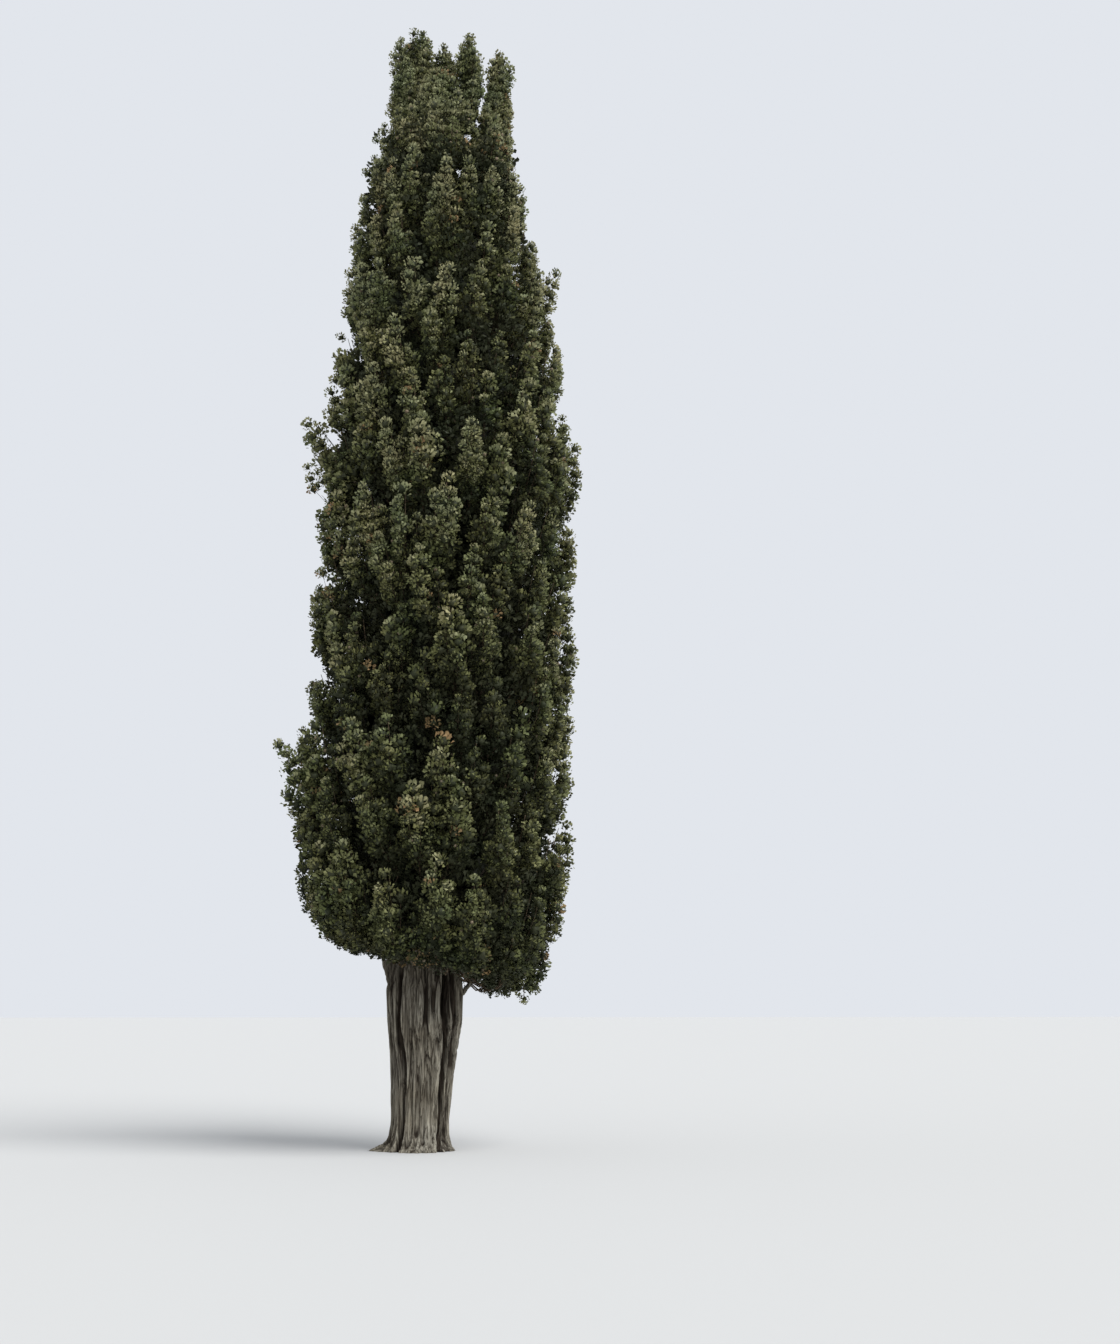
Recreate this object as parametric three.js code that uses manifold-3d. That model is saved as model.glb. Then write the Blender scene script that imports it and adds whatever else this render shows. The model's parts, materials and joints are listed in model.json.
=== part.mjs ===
// A pencil cypress, the upright form of the Mediterranean cypress, as an old field-grown tree:
// a fluted trunk of fused stems, upright leaders that part from it at head height, and a dense
// column of foliage that ends in several tips. Millimetres, +Z up, the flat cut of the trunk at
// ground level round the origin, and -Y is the side that faces the viewer.
import * as THREE from "three";
import { mergeVertices } from "three/addons/utils/BufferGeometryUtils.js";
import Module from "manifold-3d";

const wasm = await Module();
wasm.setup();

// Driving dimensions of the whole tree
const treeHeight = 12960;
const forkHeight = 1900; // where the trunk's ribs part into separate stems
const clearGap = 0.3; // between a limb and what grows on it
const massGap = 26; // between neighbouring masses of foliage

// The crown's middle line and half width, by height
const crownRows = [
  { height: 1500, shift: 150, half: 1400 },
  { height: 3000, shift: 130, half: 1470 },
  { height: 3900, shift: 110, half: 1500 },
  { height: 5200, shift: 190, half: 1470 },
  { height: 6600, shift: 220, half: 1435 },
  { height: 7500, shift: 260, half: 1470 },
  { height: 8600, shift: 215, half: 1330 },
  { height: 9600, shift: 240, half: 1220 },
  { height: 10600, shift: 140, half: 1070 },
  { height: 11400, shift: 140, half: 930 },
  { height: 12000, shift: 180, half: 760 },
  { height: 13000, shift: 200, half: 640 },
];
const crownFoot = { height: 1960, tilt: 220, round: 720, least: 0.7 }; // rounded lower end, lower on +X

// Rings of foliage masses round the trunk, set like roof tiles
const ring = { rows: 7, sectors: 6, first: 1760, step: 1330, taper: 0.4, slant: 0.45, inner: 400 };
const massHeight = ring.step / (1 - ring.taper);
const sectorHalf = Math.PI / ring.sectors;

// Plumes of foliage: rows of them round the crown, each row turned half a place from the one below
const plume = {
  rows: 16,
  places: 18,
  first: 400, // from the crown's foot to the lowest tips
  step: ring.step / 2,
  length: 1000,
  half: 215,
  depth: 170,
  sides: 4,
  widest: 0.42,
  foot: 0.7, // as a share of its tip's distance from the crown's middle, and of a short one's
  shortFoot: 0.5,
  shortHalf: 0.75,
  below: 60, // how far the lowest reach under the crown's foot
  fullRadius: 1400, // of the crown, where plumes have their full size
  leastSize: 0.66,
  bow: 0.3,
};
const plumeScatter = { across: 0.3, up: 0.4, reach: 0.06, length: 0.24, half: 0.2 };
const plumeFits = { sizes: [1, 0.84, 0.7, 0.56, 0.42], draws: [0, 0.12, 0.24, 0.36] };
// A core follows its mass's own space, at these levels and round these places
const coreLevels = [0, 0.38, 0.62, 1];
const coreRange = { low: 0.05, high: 0.95, aboveFoot: 220 };
const coreSection = [
  { across: -0.94, depth: 0.68 },
  { across: -0.7, depth: 0.82 },
  { across: 0, depth: 0.87 },
  { across: 0.7, depth: 0.82 },
  { across: 0.94, depth: 0.68 },
];
const stem = { rise: 0.2, sunk: 10, bendOut: 430, bendUp: 160, topLevel: 0.62, topDepth: 0.74 };
const stemTurns = [0, 9, -9, 18, -18, 27, -27, 36, -36]; // tried in this order to miss the leaders
const stemShape = { foot: 24, tip: 10, sides: 3, steps: 4 };
const topStemShape = { foot: 20, tip: 8, sides: 4, steps: 3 };
const spray = { length: 380, half: 62, thick: 26, every: 8, lean: 0.42 };
const firstStray = 704; // their numbers, and those of the hanging and the top plumes, are set apart
const firstHanging = 800;
const firstOfTops = 904;

// Further plumes that stand out of the crown's outline: height, bearing in degrees, and how far
const strays = [
  { height: 8070, bearing: 180, reach: 240 },
  { height: 7480, bearing: 192, reach: 202 },
  { height: 4370, bearing: 200, reach: 375 },
  { height: 3900, bearing: 180, reach: 140 },
  { height: 9820, bearing: -12, reach: 155 },
  { height: 7870, bearing: 0, reach: 88 },
  { height: 6150, bearing: 176, reach: 100 },
  { height: 5400, bearing: 62, reach: 120 },
  { height: 8300, bearing: 118, reach: 120 },
];
// Plumes that hang below the crown's foot
const hanging = [
  { mass: "foliage_1_1", foot: [960, -60, 2200], tip: [1130, -110, 1590], half: 190 },
  { mass: "foliage_1_1", foot: [800, 90, 2150], tip: [860, 130, 1760], half: 170 },
];

// The separate tops of the crown, each carried by the trunk or a leader of its own
const tips = [
  { name: "top_middle", x: 140, y: 190, top: 12840, half: 185, limb: "trunk", core: 900 },
  { name: "top_left", x: -235, y: 10, top: treeHeight, half: 265, limb: "leader_left", core: 940 },
  { name: "top_right", x: 445, y: -60, top: 12920, half: 205, limb: "leader_right", core: 1050 },
  { name: "top_far_right", x: 805, y: 100, top: 12740, half: 150, limb: "leader_far_right", core: 1500 },
  { name: "top_front", x: 120, y: -420, top: 12280, half: 230, limb: "leader_front", core: 480 },
  { name: "top_back", x: 150, y: 520, top: 12300, half: 225, limb: "leader_back", core: 540 },
];
// Their space starts at a foot and spreads below a free height; their plumes stand round their axes
const topPart = { foot: 10950, free: 12000, spread: 0.75, plumes: 8, drop: 115, out: 0.52, length: 640 };
const ringInTop = { top_far_right: "foliage_7_1" }; // a place in the last ring that a top also fills
const topPlume = { half: 0.62, depth: 0.5, foot: 0.3 };
const topCoreSides = 5;

// Trunk: middle line and mean radius by height, from the root flare to the tip
const trunkRows = [
  { height: 0, x: 0, y: 0, radius: 385 },
  { height: 60, x: 5, y: 0, radius: 350 },
  { height: 160, x: 10, y: 0, radius: 322 },
  { height: 320, x: 18, y: 0, radius: 308 },
  { height: 700, x: 38, y: 0, radius: 326 },
  { height: 1050, x: 55, y: 0, radius: 356 },
  { height: 1360, x: 68, y: 0, radius: 388 },
  { height: 1700, x: 62, y: 0, radius: 392 },
  { height: forkHeight, x: 60, y: 0, radius: 330 },
  { height: 2060, x: 60, y: 0, radius: 215 },
  { height: 2400, x: 70, y: 10, radius: 165 },
  { height: 4000, x: 130, y: 30, radius: 138 },
  { height: 6500, x: 200, y: 60, radius: 108 },
  { height: 9000, x: 200, y: 120, radius: 74 },
  { height: 10600, x: 140, y: 180, radius: 46 },
  { height: 11500, x: 130, y: 200, radius: 28 },
];
const trunkTop = trunkRows[trunkRows.length - 1];
const trunkSides = 30;
const flute = { ridge: 1.07, left: 0.35, fadeEnd: 2400, wander: 5, wave: 340 };
// Grooves between the trunk's fused ribs: bearing in degrees, depth as a share of the radius
const grooves = [
  { bearing: -165, depth: 0.15 },
  { bearing: -126, depth: 0.24 },
  { bearing: -84, depth: 0.12 },
  { bearing: -40, depth: 0.24 },
  { bearing: 8, depth: 0.18 },
  { bearing: 56, depth: 0.22 },
  { bearing: 102, depth: 0.14 },
  { bearing: 148, depth: 0.22 },
];
const grooveWidth = 11; // degrees
const root = { bearing: 186, width: 16, reach: 150, height: 110 }; // the one root that shows

// Leaders: where each parts from the trunk, its thickness there, and where it ends
const leaders = [
  { name: "leader_left", bearing: 195, start: 1380, foot: 100, end: [-235, 10, 11700] },
  { name: "leader_right", bearing: -15, start: 1320, foot: 105, end: [445, -60, 11650] },
  { name: "leader_far_right", bearing: 45, start: 1460, foot: 92, end: [540, 90, 10400] },
  { name: "leader_front", bearing: -105, start: 1480, foot: 96, end: [120, -400, 11100] },
  { name: "leader_back", bearing: 105, start: 1500, foot: 94, end: [150, 480, 11100] },
];
const leader = { out: 300, flareHeight: 2300, sunk: 1.35, bow: 40, drift: 0.35, power: 0.6 };
const leaderShape = { tip: 22, sides: 7, steps: 10 };

// Low boughs under the crown: from a height and bearing on the trunk out to the lowest masses
const lowBoughs = [
  { name: "bough_low_right", mass: "foliage_1_1", bearing: 4, start: 1540, end: 1960, out: 620, foot: 46 },
  { name: "bough_low_left", mass: "foliage_1_4", bearing: 176, start: 1760, end: 2360, out: 540, foot: 44 },
];
const boughShape = { tip: 20, sides: 6, steps: 4, sag: 30 };

const bark = new THREE.MeshStandardMaterial({ color: 0x6d6459, roughness: 0.95, metalness: 0 });
const foliage = new THREE.MeshStandardMaterial({ color: 0x3a4a24, roughness: 0.85, metalness: 0 });

const { clamp, lerp, degToRad, mapLinear } = THREE.MathUtils;
const fullTurn = Math.PI * 2;
const goldenAngle = Math.PI * (3 - Math.sqrt(5));

// A repeatable share between 0 and 1 for the nth choice of a kind
function chance(n, kind) {
  const s = Math.sin(n * 12.9898 + kind * 78.233) * 43758.5453;
  return s - Math.floor(s);
}

// A row's values at a height, straight between the rows that are given
function rowAt(rows, height) {
  const above = rows.findIndex((row) => row.height > height);
  if (above === 0) return rows[0];
  if (above < 0) return rows[rows.length - 1];
  const low = rows[above - 1];
  const high = rows[above];
  const share = (height - low.height) / (high.height - low.height);
  return Object.fromEntries(Object.keys(low).map((key) => [key, lerp(low[key], high[key], share)]));
}

// The crown's middle and its radius at a height, on a bearing in radians
function crownAt(height, bearing) {
  const row = rowAt(crownRows, height);
  const foot = crownFoot.height - crownFoot.tilt * Math.cos(bearing);
  const rise = clamp((height - foot) / crownFoot.round, 0, 1);
  const share = lerp(crownFoot.least, 1, Math.sin((rise * Math.PI) / 2));
  return { x: row.shift, y: 0, radius: row.half * share };
}

function polar(middle, bearing, radius, height) {
  return new THREE.Vector3(
    middle.x + radius * Math.cos(bearing),
    middle.y + radius * Math.sin(bearing),
    height,
  );
}

// A closed solid from a geometry, with its shared corners merged and flat triangles dropped
function toSolid(geometry) {
  const bare = geometry.clone();
  bare.deleteAttribute("normal");
  bare.deleteAttribute("uv");
  const merged = mergeVertices(bare, 1e-3);
  const index = merged.index.array;
  const kept = [];
  for (let i = 0; i < index.length; i += 3) {
    const [a, b, c] = [index[i], index[i + 1], index[i + 2]];
    if (a !== b && b !== c && a !== c) kept.push(a, b, c);
  }
  const vertProperties = new Float32Array(merged.attributes.position.array);
  const solidOf = (triVerts) => new wasm.Manifold(new wasm.Mesh({ numProp: 3, vertProperties, triVerts }));
  const solid = solidOf(new Uint32Array(kept));
  // A skin that was wound the other way has its faces turned round
  return solid.volume() > 0 ? solid : solidOf(new Uint32Array(kept).reverse());
}

// The largest body of a solid, which drops loose scraps and fills sealed hollows
function largest(solid) {
  return solid.decompose().reduce((best, body) => (body.volume() > best.volume() ? body : best));
}

function toGeometry(solid) {
  const made = solid.getMesh();
  const position = new Float32Array(made.numVert * 3);
  for (let i = 0; i < made.numVert; i++) {
    const start = i * made.numProp;
    position.set(made.vertProperties.subarray(start, start + 3), i * 3);
  }
  const geometry = new THREE.BufferGeometry();
  geometry.setAttribute("position", new THREE.BufferAttribute(position, 3));
  geometry.setIndex(new THREE.BufferAttribute(new Uint32Array(made.triVerts), 1));
  geometry.computeVertexNormals();
  return geometry;
}

const middleOf = (points) =>
  points.reduce((sum, p) => sum.add(p), new THREE.Vector3()).divideScalar(points.length);

// A closed skin over rings of points that all run the same way round, drawn to a point at each end
function loft(rings, ends = [middleOf(rings[0]), middleOf(rings[rings.length - 1])]) {
  const sides = rings[0].length;
  const points = rings.flat();
  const faces = [];
  for (let i = 0; i + 1 < rings.length; i++) {
    for (let j = 0; j < sides; j++) {
      const [a, b] = [i * sides + j, i * sides + ((j + 1) % sides)];
      faces.push(a, b, b + sides, a, b + sides, a + sides);
    }
  }
  const last = (rings.length - 1) * sides;
  points.push(...ends);
  for (let j = 0; j < sides; j++) {
    faces.push(points.length - 2, (j + 1) % sides, j);
    faces.push(points.length - 1, last + j, last + ((j + 1) % sides));
  }
  const geometry = new THREE.BufferGeometry().setFromPoints(points);
  geometry.setIndex(faces);
  return geometry;
}

// A round section of a limb, square to its line
function section(middle, along, radius, sides) {
  const side = new THREE.Vector3(1, 0, 0).cross(along).normalize();
  const other = along.clone().cross(side).normalize();
  return Array.from({ length: sides }, (_, j) => {
    const angle = (j / sides) * fullTurn;
    return middle
      .clone()
      .addScaledVector(side, radius * Math.cos(angle))
      .addScaledVector(other, radius * Math.sin(angle));
  });
}

const limbRadius = (foot, tip, share) => lerp(foot, tip, share ** leader.power);

// A tapering limb along a curve, grown on all sides by an extra thickness
function limb(curve, { foot, tip, sides, steps }, extra = 0) {
  const rings = [];
  for (let i = 0; i <= steps; i++) {
    const share = i / steps;
    const along = curve.getTangent(share);
    const middle = curve.getPoint(share);
    if (i === 0) middle.addScaledVector(along, -extra);
    if (i === steps) middle.addScaledVector(along, extra);
    rings.push(section(middle, along, limbRadius(foot, tip, share) + extra, sides));
  }
  return loft(rings);
}

// How far the trunk's surface stands from its middle line
function trunkRadius(height, bearing) {
  const row = rowAt(trunkRows, height);
  const faded = mapLinear(height, forkHeight, flute.fadeEnd, 1, flute.left);
  const fluted = clamp(faded, flute.left, 1);
  const wander = flute.wander * Math.sin(height / flute.wave);
  let share = flute.ridge;
  for (const groove of grooves) {
    const off = degreesApart(THREE.MathUtils.radToDeg(bearing), groove.bearing + wander);
    share -= groove.depth * fluted * Math.exp(-((off / grooveWidth) ** 2));
  }
  const side = degreesApart(THREE.MathUtils.radToDeg(bearing), root.bearing) / root.width;
  const reach = root.reach * Math.exp(-side * side) * clamp(1 - height / root.height, 0, 1);
  return row.radius * share + reach;
}

function degreesApart(a, b) {
  return ((((a - b) % 360) + 540) % 360) - 180;
}

// The trunk's skin, grown sideways and at its tip by an extra thickness
function trunkGeometry(extra) {
  const rings = trunkRows.map((row) =>
    Array.from({ length: trunkSides }, (_, j) => {
      const bearing = (j / trunkSides) * fullTurn;
      const height = row === trunkTop ? row.height + extra : row.height;
      return polar(row, bearing, trunkRadius(row.height, bearing) + extra, height);
    }),
  );
  return loft(rings);
}

// A leader: out of a rib of the trunk, then upright to the foot of its own top
function leaderCurve(plan) {
  const bearing = degToRad(plan.bearing);
  const foot = rowAt(trunkRows, plan.start);
  const bend = rowAt(trunkRows, leader.flareHeight);
  const end = new THREE.Vector3(...plan.end);
  const middle = polar(bend, bearing, leader.out + leader.bow, (leader.flareHeight + end.z) / 2);
  middle.x = lerp(middle.x, end.x, leader.drift);
  return new THREE.CatmullRomCurve3([
    polar(foot, bearing, trunkRadius(plan.start, bearing) - plan.foot * leader.sunk, plan.start),
    polar(bend, bearing, leader.out, leader.flareHeight),
    middle,
    end,
  ]);
}

function lowBoughCurve(plan) {
  const bearing = degToRad(plan.bearing);
  const foot = rowAt(trunkRows, plan.start);
  const start = polar(foot, bearing, trunkRadius(plan.start, bearing) - plan.foot, plan.start);
  const end = polar(foot, bearing, plan.out, plan.end);
  const middle = start.clone().lerp(end, 0.5);
  middle.z -= boughShape.sag;
  return new THREE.CatmullRomCurve3([start, middle, end]);
}

const footAt = (bearing) => crownFoot.height - crownFoot.tilt * Math.cos(bearing);

// The share of its sector that a ring mass takes at a level, from 0 at its foot to 1 at its top
function acrossAt(level, row) {
  const below = row === 0 ? 1 : level / ring.taper;
  return clamp(Math.min(below, (1 - level) / ring.taper), 0, 1);
}

// True if a point is in a ring mass's own space, widened by a margin
function inRing(point, mass, margin) {
  const bearing = Math.atan2(point.y, point.x - rowAt(crownRows, point.z).shift);
  const crown = crownAt(point.z, bearing);
  const out = Math.hypot(point.x - crown.x, point.y - crown.y);
  if (out < ring.inner) return false;
  const level = (point.z - mass.foot + ring.slant * (crown.radius - out)) / massHeight;
  const half = sectorHalf * acrossAt(level, mass.row) + margin / out;
  const off = Math.atan2(Math.sin(bearing - mass.bearing), Math.cos(bearing - mass.bearing));
  return level < 1 + margin / massHeight && Math.abs(off) < half;
}

// True if a point is in the part of the crown's head that one top keeps to
function inTop(point, tip) {
  if (point.z < topPart.foot || point.z > tip.top) return false;
  const far = (other) => Math.hypot(point.x - other.x, point.y - other.y) - other.half;
  const own = far(tip);
  const spread = Math.max(0, topPart.free - point.z) * topPart.spread;
  if (own > spread) return false;
  if (tips.some((other) => other !== tip && far(other) < own + massGap * 1.5)) return false;
  const others = ringMasses.filter((mass) => mass.last && mass.name !== ringInTop[tip.name]);
  return !others.some((mass) => inRing(point, mass, massGap));
}

const touches = (point, line, gap) =>
  line.points.some((p, i) => p.distanceTo(point) < line.radii[i] + gap);

// The plumes of the rows round the crown, and those that stand out of it
function crownPlumes() {
  const made = [];
  for (let row = 0; row < plume.rows; row++) {
    for (let place = 0; place < plume.places; place++) {
      const n = row * plume.places + place;
      const turn = place + 0.5 * (row % 2) + plumeScatter.across * (chance(n, 1) - 0.5);
      const bearing = (turn / plume.places) * fullTurn;
      const tilted = (footAt(bearing) - crownFoot.height) * (1 - row / plume.rows);
      const rise = plume.first + plume.step * (row + plumeScatter.up * (chance(n, 2) - 0.5));
      made.push(crownPlume(n, bearing, crownFoot.height + tilted + rise, 0));
    }
  }
  strays.forEach((stray, i) => {
    const n = firstStray + i * spray.every;
    made.push(crownPlume(n, degToRad(stray.bearing), stray.height, stray.reach));
  });
  return made;
}

function crownPlume(n, bearing, height, further) {
  const crown = crownAt(height, bearing);
  const reach = crown.radius * (0.99 + plumeScatter.reach * chance(n, 3)) + further;
  const room = height - footAt(bearing) + plume.below;
  const wish = plume.length * (1 + plumeScatter.length * (chance(n, 4) - 0.5));
  const length = Math.min(wish, room);
  const share = clamp(length / plume.length, 0, 1);
  const size = clamp(crown.radius / plume.fullRadius, plume.leastSize, 1) * lerp(plume.shortHalf, 1, share);
  const rooted = Math.max(reach * lerp(plume.shortFoot, plume.foot, share), ring.inner + plume.below);
  return {
    n,
    bearing,
    foot: polar(crown, bearing, rooted, height - length),
    tip: polar(crown, bearing, reach, height),
    half: plume.half * size * (1 + plumeScatter.half * (chance(n, 5) - 0.5)),
    depth: plume.depth * size,
  };
}

// The point that decides which mass a plume belongs to
const bodyOf = (shape) => shape.foot.clone().lerp(shape.tip, 0.55);

// The corners of a flame-shaped plume at its widest, below the middle of its length
function plumeSection(shape, scale) {
  const out = new THREE.Vector3(Math.cos(shape.bearing), Math.sin(shape.bearing), 0);
  const side = new THREE.Vector3(-out.y, out.x, 0);
  const middle = shape.foot.clone().lerp(shape.tip, plume.widest);
  middle.addScaledVector(out, shape.depth * plume.bow);
  return Array.from({ length: plume.sides }, (_, j) => {
    const angle = (j / plume.sides) * fullTurn;
    return middle
      .clone()
      .addScaledVector(side, shape.half * scale * Math.sin(angle))
      .addScaledVector(out, -shape.depth * scale * Math.cos(angle));
  });
}

// A spray: a slim blade of eight faces with its root sunk in its plume
function sprayGeometry(root, direction, flat, length) {
  const blade = new THREE.OctahedronGeometry(1);
  blade.scale(spray.half, spray.thick / 2, length / 2);
  blade.translate(0, 0, length / 2);
  const side = flat.clone().cross(direction).normalize();
  const normal = direction.clone().cross(side).normalize();
  const place = new THREE.Matrix4().makeBasis(side, normal, direction);
  blade.applyMatrix4(place.setPosition(root));
  return blade;
}

function cornersOf(geometry) {
  const position = geometry.getAttribute("position");
  return Array.from({ length: position.count }, (_, i) =>
    new THREE.Vector3().fromBufferAttribute(position, i),
  );
}

// A plume drawn in towards its mass's middle line, or made smaller, until it fits
function fitted(shape, centre, fits) {
  const body = bodyOf(shape);
  for (const size of plumeFits.sizes) {
    for (const draw of plumeFits.draws) {
      const [foot, tip] = [shape.foot, shape.tip].map((end) => {
        const point = body.clone().lerp(end, size);
        const middle = centre(point);
        point.x = lerp(point.x, middle.x, draw);
        point.y = lerp(point.y, middle.y, draw);
        return point;
      });
      const moved = { ...shape, foot, tip };
      moved.corners = plumeSection(moved, size);
      if ([...moved.corners, foot, tip].every(fits)) return moved;
    }
  }
  return null;
}

// One mass: a stem, cores round it, plumes on the cores and sprays on the plumes
function massSolid(pieces, plumes, centre, fits) {
  let solid = pieces.map(toSolid).reduce((whole, piece) => whole.add(piece));
  for (const planned of plumes) {
    const shape = fitted(planned, centre, fits);
    if (!shape) continue;
    solid = solid.add(toSolid(loft([shape.corners], [shape.foot, shape.tip])));
    if (shape.n % spray.every) continue;
    const turn = shape.n * goldenAngle;
    const lean = new THREE.Vector3(Math.cos(turn), Math.sin(turn), 0.9).normalize();
    const along = shape.tip.clone().sub(shape.foot).normalize();
    const direction = along.addScaledVector(lean, spray.lean).normalize();
    const start = shape.foot.clone().lerp(shape.tip, 0.4 + 0.25 * chance(shape.n, 10));
    const blade = sprayGeometry(start, direction, lean, spray.length);
    if (cornersOf(blade).every(fits)) solid = solid.add(toSolid(blade));
  }
  return solid;
}

function mesh(name, geometry, material) {
  const made = new THREE.Mesh(geometry, material);
  made.name = name;
  return made;
}

const tree = new THREE.Group();
tree.name = "pencil_cypress";

// Trunk and limbs. Each is kept with a line and radii, and once more a gap thicker to cut with.
const limbs = new Map();
tree.add(mesh("trunk", trunkGeometry(0), bark));
limbs.set("trunk", {
  cutter: toSolid(trunkGeometry(clearGap)),
  end: new THREE.Vector3(trunkTop.x, trunkTop.y, trunkTop.height),
  points: trunkRows.map((row) => new THREE.Vector3(row.x, row.y, row.height)),
  radii: trunkRows.map((row) => row.radius),
});

function addLimb(name, curve, shape) {
  const whole = toSolid(limb(curve, shape)).subtract(limbs.get("trunk").cutter);
  tree.add(mesh(name, toGeometry(largest(whole)), bark));
  const points = curve.getPoints(120);
  limbs.set(name, {
    cutter: toSolid(limb(curve, shape, clearGap * 1.5)),
    end: points[points.length - 1],
    points,
    radii: points.map((_, i) => limbRadius(shape.foot, shape.tip, i / 120)),
  });
}
for (const plan of leaders) addLimb(plan.name, leaderCurve(plan), { ...leaderShape, foot: plan.foot });
for (const plan of lowBoughs) addLimb(plan.name, lowBoughCurve(plan), { ...boughShape, foot: plan.foot });

const clearOfLimbs = (point, gap) => ![...limbs.values()].some((line) => touches(point, line, gap));

// What is left of a mass clear of every limb
function addMass(name, solid) {
  const box = solid.boundingBox();
  const meets = (other) =>
    [0, 1, 2].every((i) => box.min[i] < other.max[i] && other.min[i] < box.max[i]);
  const cut = [...limbs.values()]
    .filter((line) => meets(line.cutter.boundingBox()))
    .reduce((left, line) => left.subtract(line.cutter), solid);
  tree.add(mesh(name, toGeometry(largest(cut)), foliage));
}

// Ring masses: one for each place round the trunk, turned by half a place in every other row
const ringMasses = [];
for (let row = 0; row < ring.rows; row++) {
  for (let sector = 0; sector < ring.sectors; sector++) {
    ringMasses.push({
      name: `foliage_${row + 1}_${sector + 1}`,
      row,
      last: row === ring.rows - 1,
      bearing: ((sector + 0.5 * (row % 2)) / ring.sectors) * fullTurn,
      foot: ring.first + ring.step * row,
    });
  }
}

// A point in a ring mass's space, by level, by place across it, and by depth in the crown
function placeIn(mass, level, across, depth) {
  const bearing = mass.bearing + sectorHalf * acrossAt(level, mass.row) * across;
  const height = mass.foot + massHeight * level;
  const crown = crownAt(height, bearing);
  return polar(crown, bearing, crown.radius * depth, height - ring.slant * crown.radius * (1 - depth));
}

// The core of a ring mass: a smaller lump that its plumes stand out of
function ringCore(mass) {
  const crownLow = (footAt(mass.bearing) + coreRange.aboveFoot - mass.foot) / massHeight;
  const low = Math.max(coreRange.low, crownLow);
  const rings = coreLevels.map((share) => {
    const level = lerp(low, coreRange.high, share);
    return coreSection.map(({ across, depth }) => placeIn(mass, level, across, depth));
  });
  return loft(rings);
}

// The stem of a ring mass: from the trunk or its bough, turned to miss the leaders, to its core
function ringStem(mass) {
  const bough = lowBoughs.find((plan) => plan.mass === mass.name);
  const start = mass.foot + stem.rise * massHeight;
  const trunkThere = rowAt(trunkRows, start);
  const top = placeIn(mass, stem.topLevel, 0, stem.topDepth);
  for (const turn of stemTurns) {
    const bearing = mass.bearing + degToRad(turn);
    const foot = bough
      ? limbs.get(bough.name).end
      : polar(trunkThere, bearing, trunkRadius(start, bearing) - stem.sunk, start);
    const bend = polar(trunkThere, bearing, stem.bendOut, start + stem.bendUp);
    const curve = new THREE.CatmullRomCurve3(bough ? [foot, top] : [foot, bend, top]);
    const line = curve.getPoints(24).slice(1);
    const clear = leaders.every((plan) => {
      const other = limbs.get(plan.name);
      return line.every((point) => !touches(point, other, stemShape.foot));
    });
    if (clear) return limb(curve, stemShape);
  }
  throw new Error(`${mass.name} has no clear way to the trunk`);
}

// Each plume goes to the mass whose space holds its middle
const planned = crownPlumes();
const plumesIn = (holds) => planned.filter((shape) => holds(bodyOf(shape)));

function hangingPlumes(mass) {
  return hanging
    .filter((plan) => plan.mass === mass.name)
    .map((plan, i) => ({
      n: firstHanging + i * spray.every,
      bearing: mass.bearing,
      foot: new THREE.Vector3(...plan.foot),
      tip: new THREE.Vector3(...plan.tip),
      half: plan.half,
      depth: plan.half * plume.depth / plume.half,
    }));
}

for (const mass of ringMasses) {
  if (Object.values(ringInTop).includes(mass.name)) continue;
  const fits = (point) => inRing(point, mass, -massGap / 2) && clearOfLimbs(point, massGap / 2);
  const centre = (point) => {
    const crown = crownAt(point.z, mass.bearing);
    const out = Math.hypot(point.x - crown.x, point.y - crown.y);
    return polar(crown, mass.bearing, out, point.z);
  };
  const plumes = [...plumesIn((point) => inRing(point, mass, 0)), ...hangingPlumes(mass)];
  addMass(mass.name, massSolid([ringStem(mass), ringCore(mass)], plumes, centre, fits));
}

// Tops: a stem that carries on from its limb, a slim core, and plumes set round its own axis
function topPlumes(tip, number) {
  return Array.from({ length: topPart.plumes }, (_, i) => {
    const out = i === 0 ? 0 : tip.half * topPart.out;
    const bearing = i * goldenAngle + number;
    const height = tip.top - i * topPart.drop;
    return {
      n: firstOfTops + number * topPart.plumes + i,
      bearing,
      foot: polar(tip, bearing, out * topPlume.foot, height - topPart.length),
      tip: polar(tip, bearing, out, height),
      half: tip.half * topPlume.half,
      depth: tip.half * topPlume.depth,
    };
  });
}

function topCore(tip) {
  const stations = [
    { drop: tip.core, wide: 0.3 },
    { drop: tip.core * 0.65, wide: 0.9 },
    { drop: 260, wide: 0.5 },
  ];
  return loft(
    stations.map(({ drop, wide }) =>
      Array.from({ length: topCoreSides }, (_, j) =>
        polar(tip, (j / topCoreSides) * fullTurn, tip.half * wide, tip.top - drop),
      ),
    ),
  );
}

tips.forEach((tip, number) => {
  const own = ringMasses.find((mass) => mass.name === ringInTop[tip.name]);
  const holds = (point) => inTop(point, tip) || Boolean(own && inRing(point, own, -massGap / 2));
  const fits = (point) => holds(point) && clearOfLimbs(point, massGap / 2);
  const foot = limbs.get(tip.limb).end;
  const top = new THREE.Vector3(tip.x, tip.y, tip.top - 240);
  const curve = new THREE.CatmullRomCurve3([foot, foot.clone().lerp(top, 0.5), top]);
  const pieces = [limb(curve, topStemShape), topCore(tip)];
  if (own) pieces.push(ringCore(own));
  const centre = (point) => ({ x: tip.x, y: tip.y, z: point.z });
  addMass(tip.name, massSolid(pieces, [...plumesIn(holds), ...topPlumes(tip, number)], centre, fits));
});
export default tree;
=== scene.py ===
import json
import math

import bpy
import numpy as np
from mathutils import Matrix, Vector, noise

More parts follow.
